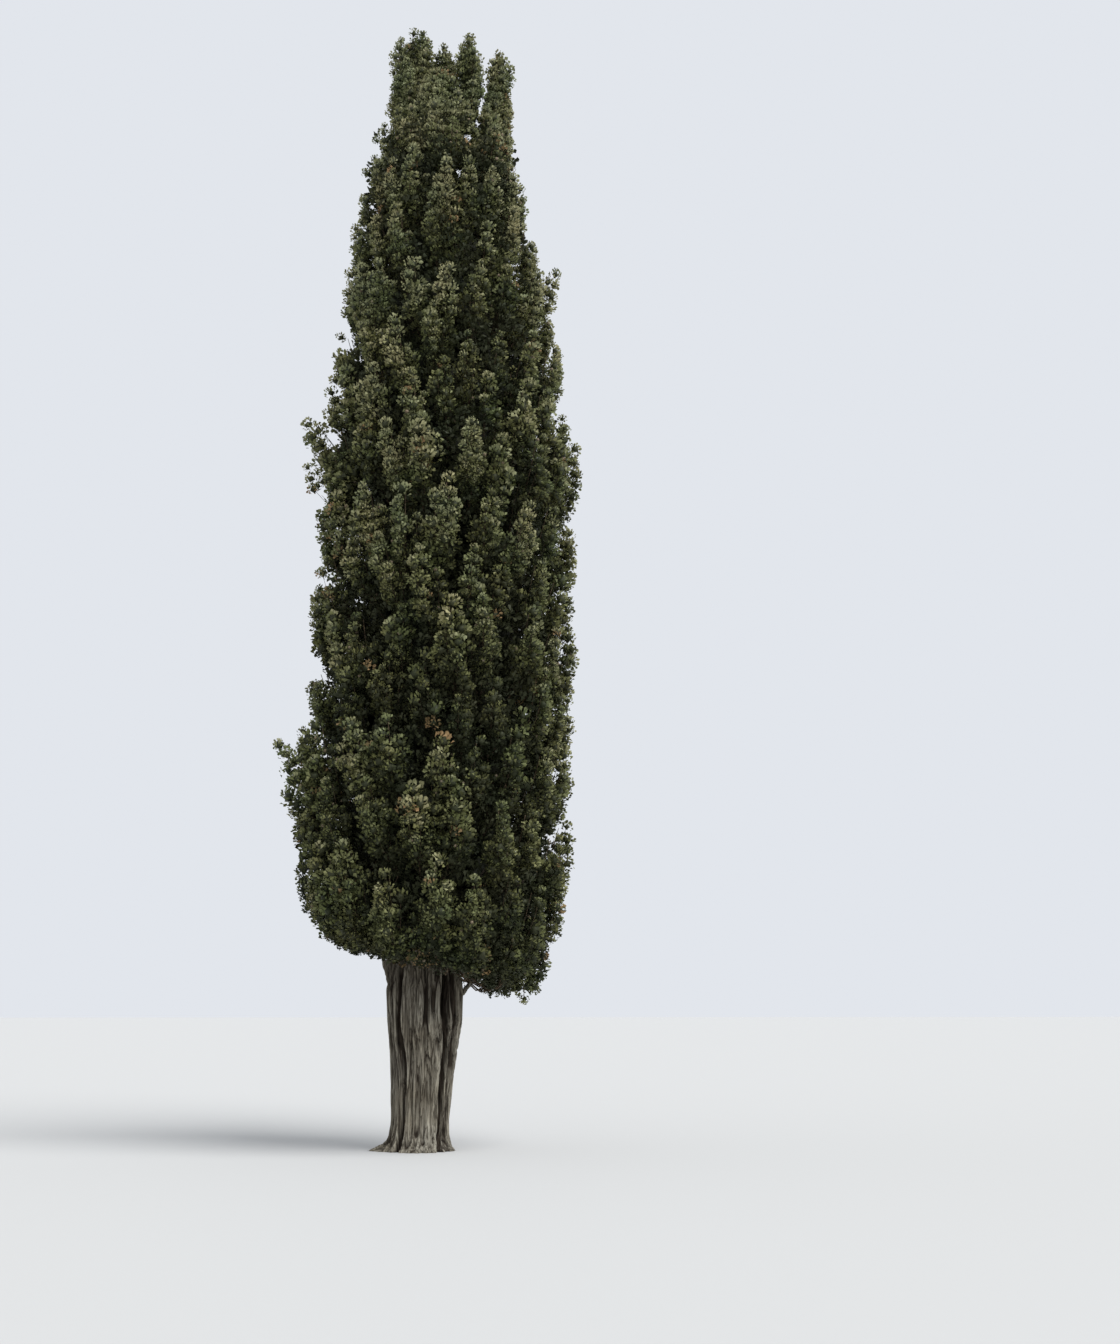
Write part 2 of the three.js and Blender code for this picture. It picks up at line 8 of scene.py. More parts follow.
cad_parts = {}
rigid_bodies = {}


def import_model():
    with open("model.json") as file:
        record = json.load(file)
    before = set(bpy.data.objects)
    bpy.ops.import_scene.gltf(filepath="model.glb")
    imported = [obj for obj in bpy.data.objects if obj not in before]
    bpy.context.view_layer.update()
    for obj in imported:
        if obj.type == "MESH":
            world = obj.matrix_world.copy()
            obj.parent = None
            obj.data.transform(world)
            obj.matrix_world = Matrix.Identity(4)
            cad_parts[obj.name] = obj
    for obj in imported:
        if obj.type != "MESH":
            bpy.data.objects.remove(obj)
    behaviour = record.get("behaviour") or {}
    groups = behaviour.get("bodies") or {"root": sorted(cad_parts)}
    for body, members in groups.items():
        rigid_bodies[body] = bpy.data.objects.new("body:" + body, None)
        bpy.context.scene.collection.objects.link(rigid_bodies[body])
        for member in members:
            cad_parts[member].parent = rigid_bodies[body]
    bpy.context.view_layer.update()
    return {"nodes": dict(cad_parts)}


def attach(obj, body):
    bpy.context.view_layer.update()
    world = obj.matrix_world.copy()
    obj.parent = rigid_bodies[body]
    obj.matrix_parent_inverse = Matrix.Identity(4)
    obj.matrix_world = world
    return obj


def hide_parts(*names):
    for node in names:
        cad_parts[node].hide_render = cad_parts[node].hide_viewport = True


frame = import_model()
scene = bpy.context.scene
scene.view_settings.view_transform = "Standard"

# Camera: at eye height, nearly 21 m from the trunk
cameraView = {
    "place": (0.0, -20.68, 1.6), "pitch": 9.94, "yaw": -4.227,
    "lens": 50.0, "sensor": 36.0, "farthest": 200.0,
}

cameraData = bpy.data.cameras.new("camera")
cameraData.lens = cameraView["lens"]
cameraData.sensor_width = cameraView["sensor"]
cameraData.clip_end = cameraView["farthest"]
camera = bpy.data.objects.new("camera", cameraData)
camera.location = cameraView["place"]
camera.rotation_euler = (math.radians(90 + cameraView["pitch"]), 0.0, math.radians(cameraView["yaw"]))
scene.collection.objects.link(camera)
scene.camera = camera

fullTurn = 2 * math.pi
goldenAngle = math.pi * (3 - math.sqrt(5))
up = np.array([0.0, 0.0, 1.0])
sideways = np.array([1.0, 0.0, 0.0])
tiny = 1e-6
nearlyUpright = 0.9


# A number from 0 to 1, always the same for one plume and one use of it
def chance(n, use):
    s = math.sin(n * 12.9898 + use * 78.233) * 43758.5453
    return s - math.floor(s)


# A random number from -reach to reach
def swing(draw, reach):
    return reach * (2 * draw.random() - 1)


def lerp(a, b, share):
    return a + (b - a) * share


def clamp(value, low, high):
    return min(max(value, low), high)


def unit(vector):
    return vector / np.linalg.norm(vector)


def unitRows(vectors):
    return vectors / np.linalg.norm(vectors, axis=1)[:, None]


# One column of a table read at a height, where the heights are in the first column
def readAt(table, height, column):
    return np.interp(height, table[:, 0], table[:, column])


def polar(x, y, bearing, radius, height):
    return np.array([x + radius * math.cos(bearing), y + radius * math.sin(bearing), height])


def turnBetween(a, b):
    return math.atan2(math.sin(a - b), math.cos(a - b))


# For each direction, one that isn't along it
def awayFrom(directions):
    return np.where(abs(directions[:, 2:]) < nearlyUpright, up, sideways)


def meshObject(name, points, faces):
    mesh = bpy.data.meshes.new(name)
    mesh.from_pydata([tuple(p) for p in points], [], faces)
    return bpy.data.objects.new(name, mesh)


# The crown: height, shift of its middle line and half width, with a rounded foot that is lower on +X
crown = {
    "rows": [
        (1.5, 0.15, 1.4), (3.0, 0.13, 1.47), (3.9, 0.11, 1.5), (5.2, 0.19, 1.47),
        (6.6, 0.22, 1.435), (7.5, 0.26, 1.47), (8.6, 0.215, 1.33), (9.6, 0.24, 1.22),
        (10.6, 0.14, 1.07), (11.4, 0.14, 0.93), (12.0, 0.18, 0.76), (13.0, 0.2, 0.64),
    ],
    "foot": 1.96, "tilt": 0.22, "round": 0.72, "least": 0.7,
}
crownTable = np.array(crown["rows"])


def footAt(bearing):
    return crown["foot"] - crown["tilt"] * math.cos(bearing)


def crownAt(height, bearing):
    rise = clamp((height - footAt(bearing)) / crown["round"], 0, 1)
    half = readAt(crownTable, height, 2) * lerp(crown["least"], 1, math.sin(rise * math.pi / 2))
    return readAt(crownTable, height, 1), half


# Rings of foliage masses round the trunk, set like roof tiles
ring = {"rows": 7, "sectors": 6, "first": 1.76, "step": 1.33, "taper": 0.4, "slant": 0.45, "inner": 0.4}
massHeight = ring["step"] / (1 - ring["taper"])
sectorHalf = math.pi / ring["sectors"]
ringMasses = []
for row in range(ring["rows"]):
    for sector in range(ring["sectors"]):
        ringMasses.append({
            "name": f"foliage_{row + 1}_{sector + 1}", "row": row,
            "bearing": (sector + 0.5 * (row % 2)) / ring["sectors"] * fullTurn,
            "foot": ring["first"] + ring["step"] * row,
        })


# The share of its sector that a mass takes at a level, less at its top and, above the first row, at its foot
def acrossAt(level, row):
    below = 1 if row == 0 else level / ring["taper"]
    return clamp(min(below, (1 - level) / ring["taper"]), 0, 1)


# Whether a point is in a ring mass's own space
def inRing(point, mass):
    bearing = math.atan2(point[1], point[0] - readAt(crownTable, point[2], 1))
    shift, radius = crownAt(point[2], bearing)
    out = math.hypot(point[0] - shift, point[1])
    level = (point[2] - mass["foot"] + ring["slant"] * (radius - out)) / massHeight
    if out < ring["inner"] or level >= 1:
        return False
    return abs(turnBetween(bearing, mass["bearing"])) < sectorHalf * acrossAt(level, mass["row"])


# The separate tops of the crown, each with the limb that runs up into it
tips = [
    {"name": "top_middle", "limb": "trunk", "x": 0.14, "y": 0.19, "top": 12.92, "half": 0.185},
    {"name": "top_left", "limb": "leader_left", "x": -0.235, "y": 0.01, "top": 12.98, "half": 0.265},
    {"name": "top_right", "limb": "leader_right", "x": 0.45, "y": -0.06, "top": 12.92, "half": 0.215},
    {"name": "top_far_right", "limb": "leader_far_right", "x": 0.79, "y": 0.1, "top": 12.8, "half": 0.165},
    {"name": "top_front", "limb": "leader_front", "x": 0.12, "y": -0.42, "top": 12.28, "half": 0.23},
    {"name": "top_back", "limb": "leader_back", "x": 0.15, "y": 0.52, "top": 12.3, "half": 0.225},
]
topNamed = {tip["name"]: tip for tip in tips}
topPart = {"foot": 10.95, "head": 11.75, "free": 12.0, "spread": 0.75, "within": 0.55}


# How far past its own width a top's plumes may stand, which ends where the tops stand free
def roomAround(height):
    return max(0, topPart["free"] - height) * topPart["spread"]


# Whether a point is in the part of the crown's head that one top keeps to
def inTop(point, tip):
    if point[2] < topPart["foot"] or point[2] > tip["top"]:
        return False
    far = [math.hypot(point[0] - t["x"], point[1] - t["y"]) - t["half"] for t in tips]
    own = far[tips.index(tip)]
    return own <= roomAround(point[2]) and own <= min(far)


# Slow valleys in the crown's face, where the plumes are drawn in and dealt darker tones as painted shade:
# how deep a place is, 0 to 1
valleys = {"wide": 1.2, "tall": 0.88, "share": 0.3, "steep": 2.2, "depth": 0.17, "tone": 0.45, "level": 0.4}


def valleyAt(bearing, height):
    x, y = valleys["wide"] * math.cos(bearing), valleys["wide"] * math.sin(bearing)
    wave = noise.noise(Vector((x, y, height * valleys["tall"])))
    return clamp(valleys["share"] - valleys["steep"] * wave, 0, 1)


# Openings in the crown from the viewing side: x and height at the trunk, half width and half height
openings = np.array([
    (0.625, 12.45, 0.012, 0.25), (0.58, 12.02, 0.02, 0.1), (0.54, 11.81, 0.02, 0.05),
    (0.45, 11.64, 0.03, 0.03), (0.33, 11.16, 0.02, 0.04), (-0.74, 10.96, 0.035, 0.08),
    (-0.62, 11.42, 0.025, 0.05), (-0.67, 10.72, 0.02, 0.03), (-0.9, 10.09, 0.02, 0.06),
    (-0.99, 9.0, 0.02, 0.05), (-1.02, 8.47, 0.02, 0.05), (-1.07, 7.89, 0.04, 0.07),
    (-1.15, 7.22, 0.02, 0.07), (-1.13, 6.2, 0.015, 0.05), (-1.2, 5.2, 0.015, 0.04),
    (1.2, 10.45, 0.03, 0.04), (1.42, 9.45, 0.015, 0.04),
])
twigRoom = 0.03  # what a twig's line keeps off an opening


# Whether a point, with room around it, stands in one of the openings
def inOpening(point, room):
    share = cameraView["place"][1] / (cameraView["place"][1] - point[1])
    x = point[0] * share - openings[:, 0]
    z = (point[2] - cameraView["place"][2]) * share + cameraView["place"][2] - openings[:, 1]
    return bool(np.any((x / (openings[:, 2] + room)) ** 2 + (z / (openings[:, 3] + room)) ** 2 < 1))


# A twig's line as far as it keeps out of the openings
def clearOf(line):
    shut = [inOpening(point, twigRoom) for point in line]
    return line[:shut.index(True)] if any(shut) else line


# Plumes of foliage: rows of them round the crown, each row turned half a place from the one below
plume = {
    "rows": 16, "places": 18, "first": 0.4, "step": ring["step"] / 2, "across": 0.3, "up": 0.4,
    "climb": 0.16, "length": 1.0, "lengthScatter": 0.24, "half": 0.215, "halfScatter": 0.45, "depth": 0.17,
    "reach": (0.99, 1.05), "lean": 0.3, "bow": 0.3, "middle": 0.55, "foot": 0.7, "shortFoot": 0.5,
    "shortHalf": 0.75, "below": 0.06, "fullRadius": 1.4, "leastSize": 0.66,
    "drawnIn": 0.145, "drawnFoot": 0.12, "footZone": 1.5,
}
stray = {  # plumes that stand out of the outline: height, bearing in degrees, how far
    "rows": [
        (8.07, 180, 0.24), (7.48, 192, 0.202), (4.37, 200, 0.375), (3.9, 180, 0.14), (9.82, -12, 0.155),
        (7.87, 0, 0.088), (6.15, 176, 0.1), (5.4, 62, 0.12), (8.3, 118, 0.12),
    ],
    "length": 0.8, "foot": 0.5, "firstNumber": 704, "numberStep": 8,
}
hanging = [  # plumes that hang below the crown's foot
    {"foot": (0.96, -0.06, 2.3), "tip": (1.13, -0.11, 1.6), "half": 0.22},
    {"foot": (1.14, -0.12, 2.35), "tip": (1.24, -0.13, 1.72), "half": 0.19},
    {"foot": (0.8, 0.09, 2.15), "tip": (0.86, 0.13, 1.76), "half": 0.17},
]
topPlume = {
    "count": 8, "drop": 0.115, "out": 0.52, "length": 0.64, "drawnIn": 0.045, "half": 0.62, "depth": 0.5,
    "foot": 0.3,
}
crest = {  # one more plume, which fills out the left top
    "owner": "top_left", "foot": (-0.17, -0.03, 12.3), "tip": (-0.11, -0.05, 12.9),
    "half": 0.12, "depth": 0.096,
}


def crownPlume(n, bearing, height, further):
    height = height + plume["climb"] * (chance(n, 7) - 0.5)
    shift, radius = crownAt(height, bearing)
    room = height - footAt(bearing) + plume["below"]
    drawn = plume["drawnIn"] + plume["drawnFoot"] * clamp(plume["footZone"] - room, 0, 1)
    if not further:
        drawn += valleys["depth"] * valleyAt(bearing, height) * abs(math.sin(bearing))
    reach = radius * lerp(*plume["reach"], chance(n, 3)) + further - drawn
    length = min(plume["length"] * (1 + plume["lengthScatter"] * (chance(n, 4) - 0.5)), room)
    share = clamp(length / plume["length"], 0, 1)
    size = clamp(radius / plume["fullRadius"], plume["leastSize"], 1) * lerp(plume["shortHalf"], 1, share)
    rooted = max(reach * lerp(plume["shortFoot"], plume["foot"], share), ring["inner"] + plume["below"])
    if further:  # a stray leans further out
        length *= stray["length"]
        rooted = reach * stray["foot"]
    return {
        "bearing": bearing, "around": False, "stray": further > 0,
        "foot": polar(shift, 0, bearing + plume["lean"] * (chance(n, 6) - 0.5), rooted, height - length),
        "tip": polar(shift, 0, bearing, reach, height),
        "half": plume["half"] * size * (1 + plume["halfScatter"] * (chance(n, 5) - 0.5)),
        "depth": plume["depth"] * size,
    }


# A plume with tufts all round it
def roundPlume(owner, foot, tip, half, depth, bearing=0.0):
    return {
        "owner": owner, "bearing": bearing, "around": True, "stray": False, "foot": np.array(foot),
        "tip": np.array(tip), "half": half, "depth": depth,
    }


def crownPlumes():
    made = []
    for row in range(plume["rows"]):
        for place in range(plume["places"]):
            n = row * plume["places"] + place
            turn = place + 0.5 * (row % 2) + plume["across"] * (chance(n, 1) - 0.5)
            bearing = turn / plume["places"] * fullTurn
            tilted = (footAt(bearing) - crown["foot"]) * (1 - row / plume["rows"])
            rise = plume["first"] + plume["step"] * (row + plume["up"] * (chance(n, 2) - 0.5))
            made.append(crownPlume(n, bearing, crown["foot"] + tilted + rise, 0))
    for i, (height, bearing, further) in enumerate(stray["rows"]):
        n = stray["firstNumber"] + i * stray["numberStep"]
        made.append(crownPlume(n, math.radians(bearing), height, further))
    for plan in hanging:
        depth = plan["half"] * plume["depth"] / plume["half"]
        made.append(roundPlume(None, plan["foot"], plan["tip"], plan["half"], depth))
    return made


def topPlumes(tip, number):
    made = []
    for i in range(topPlume["count"]):
        out = tip["half"] * topPlume["out"] if i else 0.0
        bearing = i * goldenAngle + number
        height = tip["top"] - i * topPlume["drop"] - topPlume["drawnIn"]
        foot = polar(tip["x"], tip["y"], bearing, out * topPlume["foot"], height - topPlume["length"])
        end = polar(tip["x"], tip["y"], bearing, out, height)
        half, depth = tip["half"] * topPlume["half"], tip["half"] * topPlume["depth"]
        made.append(roundPlume(tip["name"], foot, end, half, depth, bearing))
    return made


def nearestMass(body, bearing):
    def far(mass):
        return abs(mass["foot"] + massHeight / 2 - body[2]) + abs(turnBetween(bearing, mass["bearing"]))
    return min(ringMasses, key=far)


# Draws a plume of the head in to its own top
def drawnTo(top, shape):
    middle = np.array([top["x"], top["y"]])
    for end in ("foot", "tip"):
        off = shape[end][:2] - middle
        most = top["half"] * topPart["within"] + roomAround(shape[end][2])
        shape[end][:2] = middle + off * min(1, most / max(np.linalg.norm(off), tiny))
    shape["half"] = min(shape["half"], top["half"] * topPlume["half"])
    shape["depth"] = min(shape["depth"], top["half"] * topPlume["depth"])
    shape["around"] = True


# Every plume with the mass or top that carries it; one that would bridge two tops is left out
plumes = []
for shape in crownPlumes():
    body = lerp(shape["foot"], shape["tip"], plume["middle"])
    ownMass = next((m for m in ringMasses if inRing(body, m)), None)
    ownTop = next((t for t in tips if inTop(body, t)), None)
    inHead = shape["tip"][2] > topPart["head"]
    if inHead and (ownTop is None or shape["tip"][2] > ownTop["top"]):
        continue
    if inHead:
        drawnTo(ownTop, shape)
    owner = ownTop if inHead else ownMass or ownTop or nearestMass(body, shape["bearing"])
    shape["owner"] = owner["name"]
    plumes.append(shape)
for number, tip in enumerate(tips):
    plumes += topPlumes(tip, number)
plumes.append(roundPlume(**crest))
print("plumes:", len(plumes))

# Trunk: height, middle x, middle y and mean radius, and the grooves between its fused ribs
trunk = {
    "rows": [
        (0.0, 0.0, 0.0, 0.38), (0.06, 0.005, 0.0, 0.34), (0.16, 0.008, 0.0, 0.308),
        (0.32, 0.014, 0.0, 0.296), (0.7, 0.03, 0.0, 0.314), (1.05, 0.047, 0.0, 0.348),
        (1.36, 0.06, 0.0, 0.388), (1.7, 0.052, 0.0, 0.397), (1.9, 0.052, 0.0, 0.368),
        (2.1, 0.056, 0.0, 0.29), (2.4, 0.07, 0.01, 0.185), (4.0, 0.13, 0.03, 0.138),
        (6.5, 0.2, 0.06, 0.108), (9.0, 0.2, 0.12, 0.074), (10.6, 0.14, 0.18, 0.046),
        (11.5, 0.13, 0.2, 0.028),
    ],
    "grooves": [  # bearing in degrees, depth as a share of the radius, half width in degrees
        (-165, 0.14, 6), (-148, 0.06, 4), (-131, 0.26, 4.2), (-113, 0.07, 5), (-100, 0.05, 3), (-86, 0.1, 4),
        (-70, 0.06, 3), (-51, 0.28, 5), (-33, 0.15, 6), (8, 0.18, 6), (32, 0.08, 6), (56, 0.26, 6),
        (80, 0.07, 5), (102, 0.16, 6), (124, 0.07, 5), (148, 0.26, 6),
    ],
    "ridge": 1.07, "parting": {"height": (1.35, 1.85, 2.4), "share": (1.0, 1.7, 0.5)},
    "wander": 5, "wave": 0.34, "wobble": 2.2, "wobbleWave": 0.13, "sides": 180, "step": 0.035, "joined": 2.6,
    "root": {"bearing": 186, "width": 16, "reach": 0.15, "height": 0.11},
}
trunkTable = np.array(trunk["rows"])
trunkTop = trunk["rows"][-1][0]
leaders = [  # name, bearing in degrees, height of the start, foot radius, end
    ("leader_left", 195, 1.38, 0.1, (-0.235, 0.01, 11.7)),
    ("leader_right", -15, 1.32, 0.105, (0.445, -0.06, 11.65)),
    ("leader_far_right", 45, 1.46, 0.092, (0.54, 0.09, 10.4)),
    ("leader_front", -105, 1.48, 0.096, (0.12, -0.4, 11.1)),
    ("leader_back", 105, 1.5, 0.094, (0.15, 0.48, 11.1)),
]
leftStemOut = 0.13  # how much further the left leader swings out where it parts from the trunk
leaderLine = {
    "out": 0.3, "flare": 2.3, "sunk": 1.35, "bow": 0.04, "drift": 0.35, "power": 0.6, "tip": 0.022,
    "count": 60, "sides": 20,
}
lowBoughs = [  # name, bearing in degrees, heights of start and end, how far out, foot radius
    ("bough_low_right", 4, 1.54, 1.96, 0.62, 0.046),
    ("bough_low_left", 176, 1.76, 2.36, 0.54, 0.044),
]
lowBoughShape = {"tip": 0.02, "sag": 0.03, "count": 12, "sides": 12}


def trunkAt(height):
    return [readAt(trunkTable, height, column) for column in (1, 2, 3)]


def degreesApart(a, b):
    return (a - b + 540) % 360 - 180


def trunkRadius(height, bearing):
    parted = np.interp(height, trunk["parting"]["height"], trunk["parting"]["share"])
    wander = trunk["wander"] * math.sin(height / trunk["wave"])
    share = trunk["ridge"]
    for groove, depth, width in trunk["grooves"]:
        wobble = trunk["wobble"] * math.sin(height / trunk["wobbleWave"] + groove)
        off = degreesApart(math.degrees(bearing), groove + wander + wobble)
        share -= depth * parted * math.exp(-((off / width) ** 2))
    root = trunk["root"]
    side = degreesApart(math.degrees(bearing), root["bearing"]) / root["width"]
    reach = root["reach"] * math.exp(-side * side) * clamp(1 - height / root["height"], 0, 1)
    return trunkAt(height)[2] * share + reach


# A smooth line through points, at even shares of its parameter
def curveThrough(points, count):
    points = [np.array(p, float) for p in points]
    ends = [2 * points[0] - points[1]] + points + [2 * points[-1] - points[-2]]
    made = []
    for i in range(count + 1):
        at = i / count * (len(points) - 1)
        k = min(int(at), len(points) - 2)
        p = ends[k:k + 4]
        d = [max(np.linalg.norm(p[j + 1] - p[j]), tiny) ** 0.5 for j in range(3)]
        t = at - k
        m1 = (p[1] - p[0]) / d[0] - (p[2] - p[0]) / (d[0] + d[1]) + (p[2] - p[1]) / d[1]
        m2 = (p[2] - p[1]) / d[1] - (p[3] - p[1]) / (d[1] + d[2]) + (p[3] - p[2]) / d[2]
        m1, m2 = m1 * d[1], m2 * d[1]
        made.append(
            (2 * t**3 - 3 * t**2 + 1) * p[1] + (t**3 - 2 * t**2 + t) * m1
            + (3 * t**2 - 2 * t**3) * p[2] + (t**3 - t**2) * m2
        )
    return np.array(made)


def leaderPoints(plan):
    name, bearing, start, foot, end = plan
    bearing = math.radians(bearing)
    x, y, _ = trunkAt(start)
    first = polar(x, y, bearing, trunkRadius(start, bearing) - foot * leaderLine["sunk"], start)
    flare, out = leaderLine["flare"], leaderLine["out"]
    x, y, _ = trunkAt(flare)
    middle = polar(x, y, bearing, out + leaderLine["bow"], (flare + end[2]) / 2)
    middle[0] = lerp(middle[0], end[0], leaderLine["drift"])
    parted = out + (leftStemOut if name == "leader_left" else 0)
    return [first, polar(x, y, bearing, parted, flare), middle, end]


def lowBoughPoints(plan):
    _, bearing, start, end, out, foot = plan
    bearing = math.radians(bearing)
    x, y, _ = trunkAt(start)
    first = polar(x, y, bearing, trunkRadius(start, bearing) - foot, start)
    last = polar(x, y, bearing, out, end)
    middle = lerp(first, last, 0.5)
    middle[2] -= lowBoughShape["sag"]
    return [first, middle, last]


# Gathers many tapering limbs into one mesh
class Wood:
    def __init__(self):
        self.points, self.faces, self.count = [], [], 0

    # A closed skin over rings of points
    def skin(self, rings):
        levels, sides = rings.shape[:2]
        start, last = self.count, self.count + (levels - 1) * sides
        self.points.append(rings.reshape(-1, 3))
        for i in range(levels - 1):
            for j in range(sides):
                a, b = start + i * sides + j, start + i * sides + (j + 1) % sides
                self.faces.append((a, b, b + sides, a + sides))
        self.faces.append(tuple(start + j for j in reversed(range(sides))))
        self.faces.append(tuple(last + j for j in range(sides)))
        self.count += levels * sides

    def limb(self, line, radii, sides):
        line, radii = np.asarray(line, float), np.asarray(radii, float)[:, None]
        along = unitRows(np.gradient(line, axis=0))
        side = unitRows(np.cross(along, awayFrom(along)))
        for i in range(1, len(side)):  # carried along the line, so that the skin doesn't twist
            side[i] = unit(side[i - 1] - along[i] * side[i - 1].dot(along[i]))
        other = np.cross(along, side)
        angles = np.arange(sides) / sides * fullTurn
        aside, outward = (radii * np.cos(angles))[:, :, None], (radii * np.sin(angles))[:, :, None]
        self.skin(line[:, None] + side[:, None] * aside + other[:, None] * outward)

    # Short twigs: three sides drawn to a point, the root closed
    def shortTwigs(self, roots, ends, radius):
        roots, ends = np.asarray(roots, float), np.asarray(ends, float)
        along = ends - roots
        skew = [0.31, 0.17, 0.93]  # a direction that no twig takes
        side = unitRows(np.cross(along, skew))
        other = unitRows(np.cross(along, side))
        angles = [0, fullTurn / 3, 2 * fullTurn / 3]
        corners = [roots + radius * (side * math.cos(a) + other * math.sin(a)) for a in angles]
        block = np.stack(corners + [ends], axis=1).reshape(-1, 3)
        self.points.append(block)
        for a in range(self.count, self.count + len(block), 4):
            self.faces += [(a, a + 1, a + 3), (a + 1, a + 2, a + 3), (a + 2, a, a + 3), (a + 2, a + 1, a)]
        self.count += len(block)

    def object(self, name):
        made = meshObject(name, np.concatenate(self.points).tolist(), self.faces)
        scene.collection.objects.link(made)
        return made


# A plain mesh of what an object's modifiers make; the modifiers go
def settled(thing):
    mesh = bpy.data.meshes.new_from_object(thing.evaluated_get(bpy.context.evaluated_depsgraph_get()))
    thing.modifiers.clear()
    thing.data = mesh
    mesh.name = thing.name
    return thing


def smoothed(thing):
    thing.data.polygons.foreach_set("use_smooth", [True] * len(thing.data.polygons))
    return thing


# Bark of the lower trunk: the ribs, stems and low boughs made one skin, then fissured
bark = {
    "voxel": 0.0109, "melt": 1, "meltShare": 0.5, "along": 0.05, "crack": 0.012, "crackWidth": 0.12,
    "crackScale": 13.0, "fine": 0.009, "fineWidth": 0.2, "fineScale": 33.0, "fineShift": 7.0,
    "plate": 0.007, "plateScale": 5.0, "plateAlong": 0.32, "plateShift": 3.0,
    "warp": 0.03, "warpScale": 2.0, "warpAlong": 0.4, "flat": 0.012, "footFade": 0.05,
    # These set painted shade in the fissures with painted light on the plates, painted shade in the hollows
    # between the ribs, and the crown's painted shadow on the upper trunk
    "crackShade": 0.8, "hollow": 0.075, "hollowShade": 0.85, "hollowFade": (1.75, 2.1),
    "shadeHeight": (1.35, 1.9), "shade": 0.62,
}


def taperedRadii(foot, tip, count):
    return lerp(foot, tip, np.linspace(0, 1, count) ** leaderLine["power"])


leaderLines = {plan[0]: curveThrough(leaderPoints(plan), leaderLine["count"]) for plan in leaders}


def lowerTrunk():
    wood = Wood()
    bearings = np.arange(trunk["sides"]) / trunk["sides"] * fullTurn
    rings = []
    for height in np.arange(0, trunk["joined"] + trunk["step"], trunk["step"]):
        x, y, _ = trunkAt(height)
        rings.append([polar(x, y, b, trunkRadius(height, b), height) for b in bearings])
    wood.skin(np.array(rings))
    for name, _, _, foot, _ in leaders:
        line = leaderLines[name]
        low = line[:, 2] < trunk["joined"]
        radii = taperedRadii(foot, leaderLine["tip"], len(line))
        wood.limb(line[low], radii[low], leaderLine["sides"])
    for plan in lowBoughs:
        line = curveThrough(lowBoughPoints(plan), lowBoughShape["count"])
        wood.limb(line, taperedRadii(plan[-1], lowBoughShape["tip"], len(line)), lowBoughShape["sides"])
    piece = wood.object("trunk_bark")
    skin = piece.modifiers.new("skin", "REMESH")
    skin.mode = "VOXEL"
    skin.voxel_size = bark["voxel"]
    melt = piece.modifiers.new("melt", "SMOOTH")
    melt.factor = bark["meltShare"]
    melt.iterations = bark["melt"]
    return settled(piece)


# Noise that is stretched up the trunk; the shift keeps one use of it apart from another
def barkNoise(x, y, z, scale, along, shift=0.0):
    return noise.noise(Vector((x * scale, y * scale, z * scale * along + shift)))


# How far the bark stands out or in at a place: coarse and fine fissures, and slow plates
def barkDepth(x, y, z):
    warp = barkNoise(x, y, z, bark["warpScale"], bark["warpAlong"]) * bark["warp"]
    coarse = barkNoise(x + warp, y - warp, z, bark["crackScale"], bark["along"])
    fine = barkNoise(x + warp, y + warp, z, bark["fineScale"], bark["along"], bark["fineShift"])
    plate = barkNoise(x, y, z, bark["plateScale"], bark["plateAlong"], bark["plateShift"])
    cracks = bark["crack"] * math.exp(-((coarse / bark["crackWidth"]) ** 2))
    cracks += bark["fine"] * math.exp(-((fine / bark["fineWidth"]) ** 2))
    return bark["plate"] * plate - cracks


# Cuts the fissures and keeps the foot flat; for the finish it notes painted shade in the fissures and in the
# hollows between the ribs, painted light on the raised plates, and the crown's painted shadow on the upper
# trunk
def fissured(thing):
    mesh = thing.data
    places = np.empty(len(mesh.vertices) * 3)
    mesh.vertices.foreach_get("co", places)
    places = places.reshape(-1, 3)
    normals = np.empty(len(mesh.vertices) * 3, np.float32)
    mesh.vertex_normals.foreach_get("vector", normals)
    depth = np.array([barkDepth(*p) for p in places])
    height = places[:, 2]
    standing = np.clip(height / bark["footFade"], 0, 1)
    moved = places + normals.reshape(-1, 3) * (depth * standing)[:, None]
    moved[:, 2] = np.where(height < bark["flat"], 0.0, np.maximum(moved[:, 2], 0.0))
    mesh.vertices.foreach_set("co", moved.ravel())
    middle, _, radius = trunkAt(height)
    out = np.hypot(places[:, 0] - middle, places[:, 1])
    # painted shade in the hollows between the ribs
    sunken = np.clip((radius * trunk["ridge"] - out) / bark["hollow"], 0, 1)
    sunken *= np.interp(height, bark["hollowFade"], (1, 0))
    # painted shade in the fissures, painted light on the raised plates
    cracked = bark["crackShade"] * depth / (bark["crack"] + bark["fine"])
    # painted shadow of the crown on the upper trunk
    shaded = np.interp(height, bark["shadeHeight"], (1, bark["shade"]))
    relief = mesh.attributes.new("relief", "FLOAT", "POINT")
    relief.data.foreach_set("value", np.clip(1 + cracked - bark["hollowShade"] * sunken, 0, 1) * shaded)
    mesh.update()
    return smoothed(thing)


trunkPiece = fissured(lowerTrunk())
print("trunk bark:", len(trunkPiece.data.polygons), "faces")

# Above: the trunk and leaders run on up through the crown
stem = {
    "heights": [(2.45, 4, 8), (4.4, trunkTop, 18)], "swell": 1.02, "sides": 14,
    "leadersFrom": 2.4, "leaderSwell": 0.99, "leaderSides": 10, "leaderEvery": 2,
}


